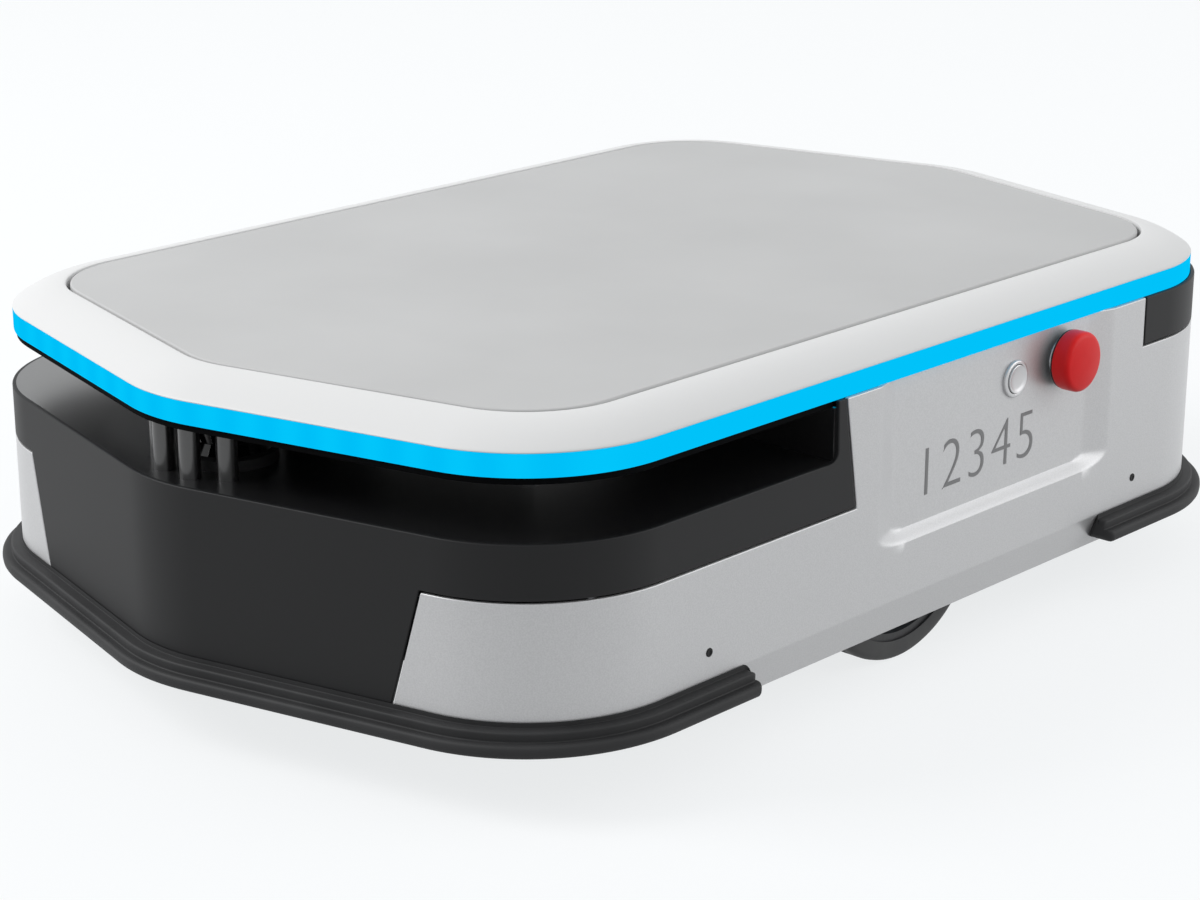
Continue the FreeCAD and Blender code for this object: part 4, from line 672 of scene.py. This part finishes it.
# EPDM rubber: matt, dark grey, with a dusty bloom in slow patches.
rubber, tree, shader, place = surface("epdm_rubber", "#2A2A2B", 0.62, Specular_IOR_Level=0.35)
bloom = add(tree, "TexNoise", {"Vector": place, "Scale": 24.0, "Detail": 6.0})
tones = [(0.35, "#262627"), (0.75, "#2F2F30")]
add(tree, "ValToRGB", {"Fac": bloom.outputs["Fac"]}, shader.inputs["Base Color"], tones)
fine = add(tree, "TexNoise", {"Vector": place, "Scale": 700.0, "Detail": 2.0})
skin = {"Height": fine.outputs["Fac"], "Strength": 0.12, "Distance": 0.0003}
add(tree, "Bump", skin, shader.inputs["Normal"])

bumper_profile = rounded(bumper_corners, bumper_cuts, 5)
wrap = at_side(-BUMPER_END)
front_strip = swept("bumper_strip_front", bumper_profile, -wrap, wrap, BUMPER_TAPER)
dress(front_strip, rubber, replaced=["bumper_front"])
rear_strip = mirrored(front_strip, "bumper_strip_rear", (1, -1, 1))
dress(rear_strip, rubber, replaced=["bumper_rear"])


# ------------------------------------------------------------------ emergency stops
# Mushroom heads of red polycarbonate, one in each recess. Each has a thin black gasket behind
# it and slides in a narrow boss that is painted with the panel.
def turned(name, profile, centre, axis, sides=72):
    """A closed profile of (place along the axis, radius) turned about an axis."""
    along, radius = np.asarray(profile).T
    angle = np.linspace(0, 2 * np.pi, sides, endpoint=False)[:, None]
    across, up = radius * np.cos(angle), radius * np.sin(angle)
    level = np.broadcast_to(along, across.shape)
    order = (level, across, up) if axis == "x" else (across, up, level)
    return lattice(name, np.stack(order, -1) + np.asarray(centre))


HEAD_LOW, HEAD_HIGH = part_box("stop_head_right")
STOP_BACK = (HEAD_LOW.y + HEAD_HIGH.y) / 2
STOP_UP = (HEAD_LOW.z + HEAD_HIGH.z) / 2
STOP_SHIFT = 0.002
HEAD_SPREAD = 0.0012
HEAD_REACH = 0.0024
STOP_RADIUS = (HEAD_HIGH.z - HEAD_LOW.z) / 2 + HEAD_SPREAD
HEAD_FACE = HEAD_HIGH.x + HEAD_REACH
HEAD_DEPTH = 0.0175
GASKET = 0.0008
GASKET_BORE = 0.0065
GASKET_INSET = 0.0006
GASKET_LAP = 0.0004
COLLAR_GAP = 0.0042
COLLAR_BACK = 0.02
COLLAR_BORE = 0.0075
COLLAR_ROOT = 0.014
NECK_RADIUS = 0.0155
NECK_FLARE = 0.001
STEM_RADIUS = 0.006
STEM_LENGTH = 0.02
CROWN_HEIGHT = 0.0018
CROWN_FLAT = 0.008
COLLAR_FACE = HEAD_FACE - HEAD_DEPTH - GASKET - COLLAR_GAP
RECESS_FACE = HALF_WIDTH + BODY_STEP - RECESS_DEPTH

# Polycarbonate, moulded: a strong even red with slow changes where the melt flowed.
red, tree, shader, place = surface("red_polycarbonate", "#F41C1F", 0.36, Specular_IOR_Level=0.22)
flow = add(tree, "TexNoise", {"Vector": place, "Scale": 60.0, "Detail": 3.0})
tones = [(0.3, "#F0191C"), (0.7, "#F61E21")]
add(tree, "ValToRGB", {"Fac": flow.outputs["Fac"]}, shader.inputs["Base Color"], tones)

head_profile = rounded(
    [
        (HEAD_FACE - HEAD_DEPTH - STEM_LENGTH, 0),
        (HEAD_FACE - HEAD_DEPTH - STEM_LENGTH, STEM_RADIUS),
        (HEAD_FACE - HEAD_DEPTH, STEM_RADIUS),
        (HEAD_FACE - HEAD_DEPTH, STOP_RADIUS),
        (HEAD_FACE - CROWN_HEIGHT, STOP_RADIUS),
        (HEAD_FACE, CROWN_FLAT),
        (HEAD_FACE, 0),
    ],
    [0, 0.0005, 0.0005, 0.0025, 0.0045, 0.006, 0],
    6,
)
collar_profile = rounded(
    [
        (RECESS_FACE - COLLAR_BACK, COLLAR_BORE),
        (RECESS_FACE - COLLAR_BACK, COLLAR_ROOT),
        (RECESS_FACE, COLLAR_ROOT),
        (RECESS_FACE, NECK_RADIUS + NECK_FLARE),
        (COLLAR_FACE, NECK_RADIUS),
        (COLLAR_FACE, COLLAR_BORE),
    ],
    [0.0002, 0.0002, 0.0002, 0.0004, 0.001, 0.0005],
)
gasket_profile = rounded(
    [
        (HEAD_FACE - HEAD_DEPTH - GASKET, GASKET_BORE),
        (HEAD_FACE - HEAD_DEPTH - GASKET, STOP_RADIUS - GASKET_INSET),
        (HEAD_FACE - HEAD_DEPTH + GASKET_LAP, STOP_RADIUS - GASKET_INSET),
        (HEAD_FACE - HEAD_DEPTH + GASKET_LAP, GASKET_BORE),
    ],
    0.0003,
)
stop_centre = (0, STOP_BACK + STOP_SHIFT, STOP_UP)
head = turned("stop_button_right", head_profile, stop_centre, "x")
collar = turned("stop_collar_right", collar_profile, stop_centre, "x")
dress(head, red, "stop_right", ["stop_head_right"])
dress(mirrored(head, "stop_button_left"), red, "stop_left", ["stop_head_left"])
dress(mirrored(collar, "stop_collar_left"), silver, replaced=["stop_bases"])
dress(collar, silver, replaced=["stop_bases"])
gasket = turned("stop_gasket_right", gasket_profile, stop_centre, "x")
dress(mirrored(gasket, "stop_gasket_left"), black_abs, "stop_left")
dress(gasket, black_abs, "stop_right")

# ------------------------------------------------------------------ power button
# A satin stainless ring and a dished stainless button inside it, both turned. The ring is
# pressed into the recess and the button slides in it.
RING_LOW, RING_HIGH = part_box("power_ring")
BUTTON_LOW, BUTTON_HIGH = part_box("power_button")
button_centre = (0, (RING_LOW.y + RING_HIGH.y) / 2, (RING_LOW.z + RING_HIGH.z) / 2)
RING_RADIUS = (RING_HIGH.z - RING_LOW.z) / 2
BUTTON_RADIUS = (BUTTON_HIGH.z - BUTTON_LOW.z) / 2
BUTTON_GAP = 0.0003
BUTTON_RIM = 0.004
BUTTON_STEP = 0.0012
BUTTON_DISH = 0.0016
RING_BACK = 0.01
RING_SLEEVE = 0.0008
RING_TAPER = 0.0005

# Turned stainless: a soft metal shine, broken by fine lathe marks.
stainless, tree, shader, place = surface("satin_stainless", "#BEBEBF", 0.36, 1.0)
lathe_marks = add(tree, "TexNoise", {"Vector": place, "Scale": 420.0, "Detail": 2.0})
marks = {"Height": lathe_marks.outputs["Fac"], "Strength": 0.05, "Distance": 0.0002}
add(tree, "Bump", marks, shader.inputs["Normal"])
ring_profile = rounded(
    [
        (RECESS_FACE - RING_BACK, BUTTON_RADIUS + BUTTON_GAP),
        (RECESS_FACE - RING_BACK, BUTTON_RADIUS + RING_SLEEVE),
        (RECESS_FACE, BUTTON_RADIUS + RING_SLEEVE),
        (RECESS_FACE, RING_RADIUS),
        (RING_HIGH.x, RING_RADIUS - RING_TAPER),
        (RING_HIGH.x, BUTTON_RADIUS + BUTTON_GAP),
    ],
    [0.0001, 0.0001, 0.0001, 0.0003, 0.0012, 0.0006],
)
button_profile = rounded(
    [
        (BUTTON_LOW.x, 0),
        (BUTTON_LOW.x, BUTTON_RADIUS),
        (BUTTON_HIGH.x, BUTTON_RADIUS),
        (BUTTON_HIGH.x - BUTTON_STEP, BUTTON_RADIUS - BUTTON_RIM),
        (BUTTON_HIGH.x - BUTTON_DISH, 0),
    ],
    [0, 0.0004, 0.0012, 0.0015, 0],
)
ring = turned("power_bezel", ring_profile, button_centre, "x")
dress(ring, stainless, replaced=["power_ring"])
press = turned("power_press", button_profile, button_centre, "x")
dress(press, stainless, "button", ["power_button"])

# ------------------------------------------------------------------ tyres
# Solid polyurethane tyres with three grooves, cast on to the rims of the wheels.
# Their surface is matt, a little paler where dust has settled.
tyre_rubber, tree, shader, place = surface("polyurethane_tyre", "#3A3A3B", 0.6)
dust = add(tree, "TexNoise", {"Vector": place, "Scale": 35.0, "Detail": 6.0})
tones = [(0.35, "#343435"), (0.8, "#454544")]
add(tree, "ValToRGB", {"Fac": dust.outputs["Fac"]}, shader.inputs["Base Color"], tones)
TYRE_LOW, TYRE_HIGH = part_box("tyre_right")
TYRE_RADIUS = (TYRE_HIGH.y - TYRE_LOW.y) / 2
TREAD = 0.016
GROOVE = 0.0025
GROOVE_FLOOR = 0.7
GROOVE_SHARES = (0.28, 0.5, 0.72)
SHOULDER = 0.006
TREAD_EDGE = 0.0004
tyre_corners = [(TYRE_LOW.x, TYRE_RADIUS - TREAD), (TYRE_LOW.x, TYRE_RADIUS)]
for share in GROOVE_SHARES:
    middle = TYRE_LOW.x + (TYRE_HIGH.x - TYRE_LOW.x) * share
    tyre_corners += [
        (middle - GROOVE, TYRE_RADIUS),
        (middle - GROOVE * GROOVE_FLOOR, TYRE_RADIUS - GROOVE),
        (middle + GROOVE * GROOVE_FLOOR, TYRE_RADIUS - GROOVE),
        (middle + GROOVE, TYRE_RADIUS),
    ]
tyre_corners += [(TYRE_HIGH.x, TYRE_RADIUS), (TYRE_HIGH.x, TYRE_RADIUS - TREAD)]
tyre_cuts = np.full(len(tyre_corners), TREAD_EDGE)
tyre_cuts[[1, -2]] = SHOULDER
tyre_centre = (0, 0, TYRE_RADIUS)
tyre = turned("tread_right", rounded(tyre_corners, tyre_cuts, 4), tyre_centre, "x", 128)
dress(tyre, tyre_rubber, "drive_wheel_right", ["tyre_right"])
dress(mirrored(tyre, "tread_left"), tyre_rubber, "drive_wheel_left", ["tyre_left"])

# ------------------------------------------------------------------ side number
# A plain five-figure fleet number on the recess floor, sprayed in grey through a stencil. The
# paint stands a little proud and its surface is slightly rough.
digit_paint, tree, shader, place = surface("grey_stencil_paint", "#8C8C8D", 0.6)
wear = add(tree, "TexNoise", {"Vector": place, "Scale": 500.0, "Detail": 3.0})
grit = {"Height": wear.outputs["Fac"], "Strength": 0.1, "Distance": 0.0002}
add(tree, "Bump", grit, shader.inputs["Normal"])
NUMBER_HEIGHT = 0.042
NUMBER_START = -0.006
NUMBER_FOOT = 0.141
NUMBER_WIDTH = 0.142
FIGURE_SHARE = 0.72
PAINT_BUILD = 0.0003
STROKE_CUT = 0.0011
letters = bpy.data.curves.new("number", "FONT")
letters.body = "12345"
letters.size = NUMBER_HEIGHT / FIGURE_SHARE
letters.extrude = PAINT_BUILD
letters.offset = -STROKE_CUT
letters.space_character = 1.12
text = bpy.data.objects.new("number_text", letters)
bpy.context.collection.objects.link(text)
bpy.context.view_layer.update()
mesh = bpy.data.meshes.new_from_object(text)
bpy.data.objects.remove(text)
places = np.empty(len(mesh.vertices) * 3)
mesh.vertices.foreach_get("co", places)
flat = places.reshape(-1, 3)
flat[:, 0] *= NUMBER_WIDTH / (flat[:, 0].max() - flat[:, 0].min())
across = NUMBER_START + flat[:, 0] - flat[:, 0].min()
upright = np.stack([RECESS_FACE + flat[:, 2], across, NUMBER_FOOT + flat[:, 1]], -1)
mesh.vertices.foreach_set("co", upright.ravel())
number = bpy.data.objects.new("fleet_number", mesh)
bpy.context.collection.objects.link(number)
dress(number, digit_paint)

# ------------------------------------------------------------------ panel screws
# Two blackened steel screws hold each panel, low down near both bumpers. Their heads stand
# a little proud of the panel and have a shallow round dish.
SCREW_PLACES = {"front": -0.2645, "rear": 0.2745}
SCREW_UP = 0.090
SCREW_RADIUS = 0.0034
SCREW_LENGTH = 0.004
SCREW_PROUD = 0.0006
DISH_FLOOR = 0.0002
DISH_RADIUS = 0.0017
blackened, tree, shader, place = surface("blackened_steel", "#0C0C0D", 0.5, Specular_IOR_Level=0.25)
fine = add(tree, "TexNoise", {"Vector": place, "Scale": 900.0, "Detail": 2.0})
burr = {"Height": fine.outputs["Fac"], "Strength": 0.1, "Distance": 0.0002}
add(tree, "Bump", burr, shader.inputs["Normal"])
PANEL_FACE = HALF_WIDTH + BODY_STEP
screw_profile = rounded(
    [
        (PANEL_FACE - SCREW_LENGTH, 0),
        (PANEL_FACE - SCREW_LENGTH, SCREW_RADIUS),
        (PANEL_FACE + SCREW_PROUD, SCREW_RADIUS),
        (PANEL_FACE + SCREW_PROUD, DISH_RADIUS),
        (PANEL_FACE + DISH_FLOOR, DISH_RADIUS),
        (PANEL_FACE + DISH_FLOOR, 0),
    ],
    [0, 0.0004, 0.0006, 0.0001, 0.0001, 0],
    3,
)
for end, y in SCREW_PLACES.items():
    screw = turned("panel_screw_right_" + end, screw_profile, (0, y, SCREW_UP), "x", 36)
    dress(screw, blackened)
    dress(mirrored(screw, "panel_screw_left_" + end), blackened)

# ------------------------------------------------------------------ parts kept from the frame
# Inner and lower parts whose shape is right as it is: castings, turned and coated steel,
# motors, belt and cases, bolted to the base plate. Each gets the finish of the real one.
def speckled(name, low, high, roughness, metallic, scale, strength=0.15, **sockets):
    """A finish whose tone varies between two colours with a noise.

    Its scale is 1 over the size in metres at which the grain is drawn.
    """
    made, tree, shader, place = surface(name, low, roughness, metallic, **sockets)
    noise = add(tree, "TexNoise", {"Vector": place, "Scale": scale, "Detail": 4.0})
    tones = [(0.35, low), (0.65, high)]
    add(tree, "ValToRGB", {"Fac": noise.outputs["Fac"]}, shader.inputs["Base Color"], tones)
    relief = {"Height": noise.outputs["Fac"], "Strength": strength, "Distance": 0.0002}
    add(tree, "Bump", relief, shader.inputs["Normal"])
    return made


def named(*starts):
    """The frame's nodes whose names start with one of the given words."""
    return [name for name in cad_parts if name.startswith(starts)]


# Moulded ABS with a polished tool: deep black that catches broad soft lights.
coat = {"Coat_Weight": 0.6, "Coat_Roughness": 0.2, "Coat_IOR": 1.8}
tray_abs = speckled("black_satin_abs", "#141415", "#1A1A1B", 0.3, 0.0, 300.0, 0.04, **coat)
# Closed-cell foam: it swallows the light, so that the strip seems to float.
foam = speckled("black_foam_seal", "#070707", "#0B0B0C", 0.9, 0.0, 300.0, Specular_IOR_Level=0.05)
# Powder coat on steel: black with an even, slightly pebbled skin.
powder = speckled("black_powder_coat", "#232325", "#2D2D2F", 0.5, 0.0, 420.0)
# Cast aluminium: bright and dull at once, with the grain of the sand.
casting = speckled("cast_aluminium", "#8E8F91", "#A3A4A6", 0.5, 1.0, 180.0)
# Sintered bronze: brown-gold and dry, with open pores.
bronze = speckled("sintered_bronze", "#8A6A3A", "#A5834B", 0.45, 1.0, 500.0)
# Smoked polycarbonate: near black with a clear reflection.
smoked = speckled("smoked_polycarbonate", "#050506", "#070708", 0.08, 0.0, 40.0, 0.01)
# Turned steel: grey metal with a faint mottle of oil.
steel = speckled("turned_steel", "#77787A", "#838486", 0.42, 1.0, 240.0)
# Anodised aluminium: black with a dark metal shine.
anodised = speckled("black_anodised_aluminium", "#1B1B1D", "#242426", 0.35, 0.4, 350.0)
# Cast polyurethane: dark grey, smooth, with worn patches.
urethane = speckled("cast_polyurethane", "#2E2E30", "#3A3A3C", 0.5, 0.0, 60.0)
# Rubber of belt and springs: matt and a little dusty.
belt_rubber = speckled("belt_rubber", "#1E1E1F", "#272728", 0.7, 0.0, 260.0)
# Moulded cases: dark blue-grey plastic with a fine texture.
case = speckled("moulded_case_plastic", "#26272A", "#2F3034", 0.5, 0.0, 200.0)

turned_parts = ["lift_screw", "caster_fork", "caster_plates", "lift_legs", "screw_bearings"]
turned_parts += ["motor_pulley"]
coated_parts = ["base_plate", "caster_deck", "frame_posts", "suspension_brackets"]
coated_parts += ["bumper_carriers", "wheel_hub"]
KEPT = [
    (foam, ["deck_trim"]),
    (tray_abs, ["slot_tray"]),
    (casting, ["deck_frame", "arm_right", "arm_left"]),
    (bronze, ["guide_bushes", "lift_nuts", "charge_contacts"]),
    (black_abs, ["scanner_base", "scanner_cap"]),
    (smoked, ["scanner_window"]),
    (powder, named(*coated_parts)),
    (anodised, ["gearmotor_right", "gearmotor_left", "lift_motor"]),
    (belt_rubber, ["spring_right", "spring_left", "lift_belt"]),
    (steel, named(*turned_parts)),
    (urethane, named("caster_wheel")),
    (case, ["battery_pack", "controller", "charge_block"]),
]
for finish, names in KEPT:
    for name in names:
        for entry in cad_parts[name].material_slots:
            entry.material = finish

# ------------------------------------------------------------------ floor and light
# A pale studio floor, painted matt, that runs out of sight under an even sky. One large soft
# lamp stands at the front left and another, larger one, at the rear right.
STUDIO_WHITE = "#FAFCFD"
FLOOR_GLOW = 0.815
FLOOR_REACH = 40.0
FLOOR_DROP = 0.0005
SKY_FILL = 0.52
SKY_SEEN = 0.95


def seen(tree, *rays):
    """1 for rays from the camera and for the named kinds of ray, and 0 for all others."""
    path = add(tree, "LightPath")
    mask = path.outputs["Is Camera Ray"]
    for ray in rays:
        either = add(tree, "Math", {0: mask, 1: path.outputs[ray]}, operation="MAXIMUM")
        mask = either.outputs["Value"]
    return mask


# Matt floor paint, which keeps the shadow. Its glow shows to the eye and in reflections but
# casts no light on what is matt.
floor_paint, tree, shader, place = surface("studio_floor", "#707071", 0.9)
mask = seen(tree, "Is Glossy Ray", "Is Transmission Ray")
level = add(tree, "Math", {0: mask, 1: FLOOR_GLOW}, operation="MULTIPLY")
light = {"Color": linear(STUDIO_WHITE), "Strength": level.outputs["Value"]}
backdrop = add(tree, "Emission", light)
layers = {0: shader.outputs["BSDF"], 1: backdrop.outputs["Emission"]}
add(tree, "AddShader", layers, tree.nodes["Material Output"].inputs["Surface"])
corners = np.array([(-1, -1, 0), (1, -1, 0), (1, 1, 0), (-1, 1, 0)]) * FLOOR_REACH
floor = solid("studio_floor", corners - (0, 0, FLOOR_DROP), [(0, 1, 2, 3)])
floor.data.materials.append(floor_paint)

# The sky is brighter to the eye and in reflections than in the light that it casts.
world = bpy.data.worlds.new("studio")
world.use_nodes = True
tree = world.node_tree
level = add(tree, "Mix", {"Factor": seen(tree, "Is Glossy Ray"), "A": SKY_FILL, "B": SKY_SEEN})
sky = tree.nodes["Background"]
sky.inputs["Color"].default_value = linear(STUDIO_WHITE)
tree.links.new(level.outputs["Result"], sky.inputs["Strength"])
bpy.context.scene.world = world


def lamp(name, place, target, size, power):
    """A square area lamp that faces a target."""
    made = bpy.data.objects.new(name, bpy.data.lights.new(name, "AREA"))
    made.data.size = size
    made.data.energy = power
    made.location = place
    away = np.array(place) - np.array(target)
    made.rotation_euler = (
        math.atan2(math.hypot(away[0], away[1]), away[2]),
        0,
        math.atan2(away[0], -away[1]),
    )
    bpy.context.collection.objects.link(made)
    return made


CENTRE = (0, 0, 0.15)
lamp("front_lamp", (-2.5, -2.7, 3.2), CENTRE, 2.2, 140)
lamp("side_lamp", (3.0, 2.5, 1.6), CENTRE, 3.2, 54)
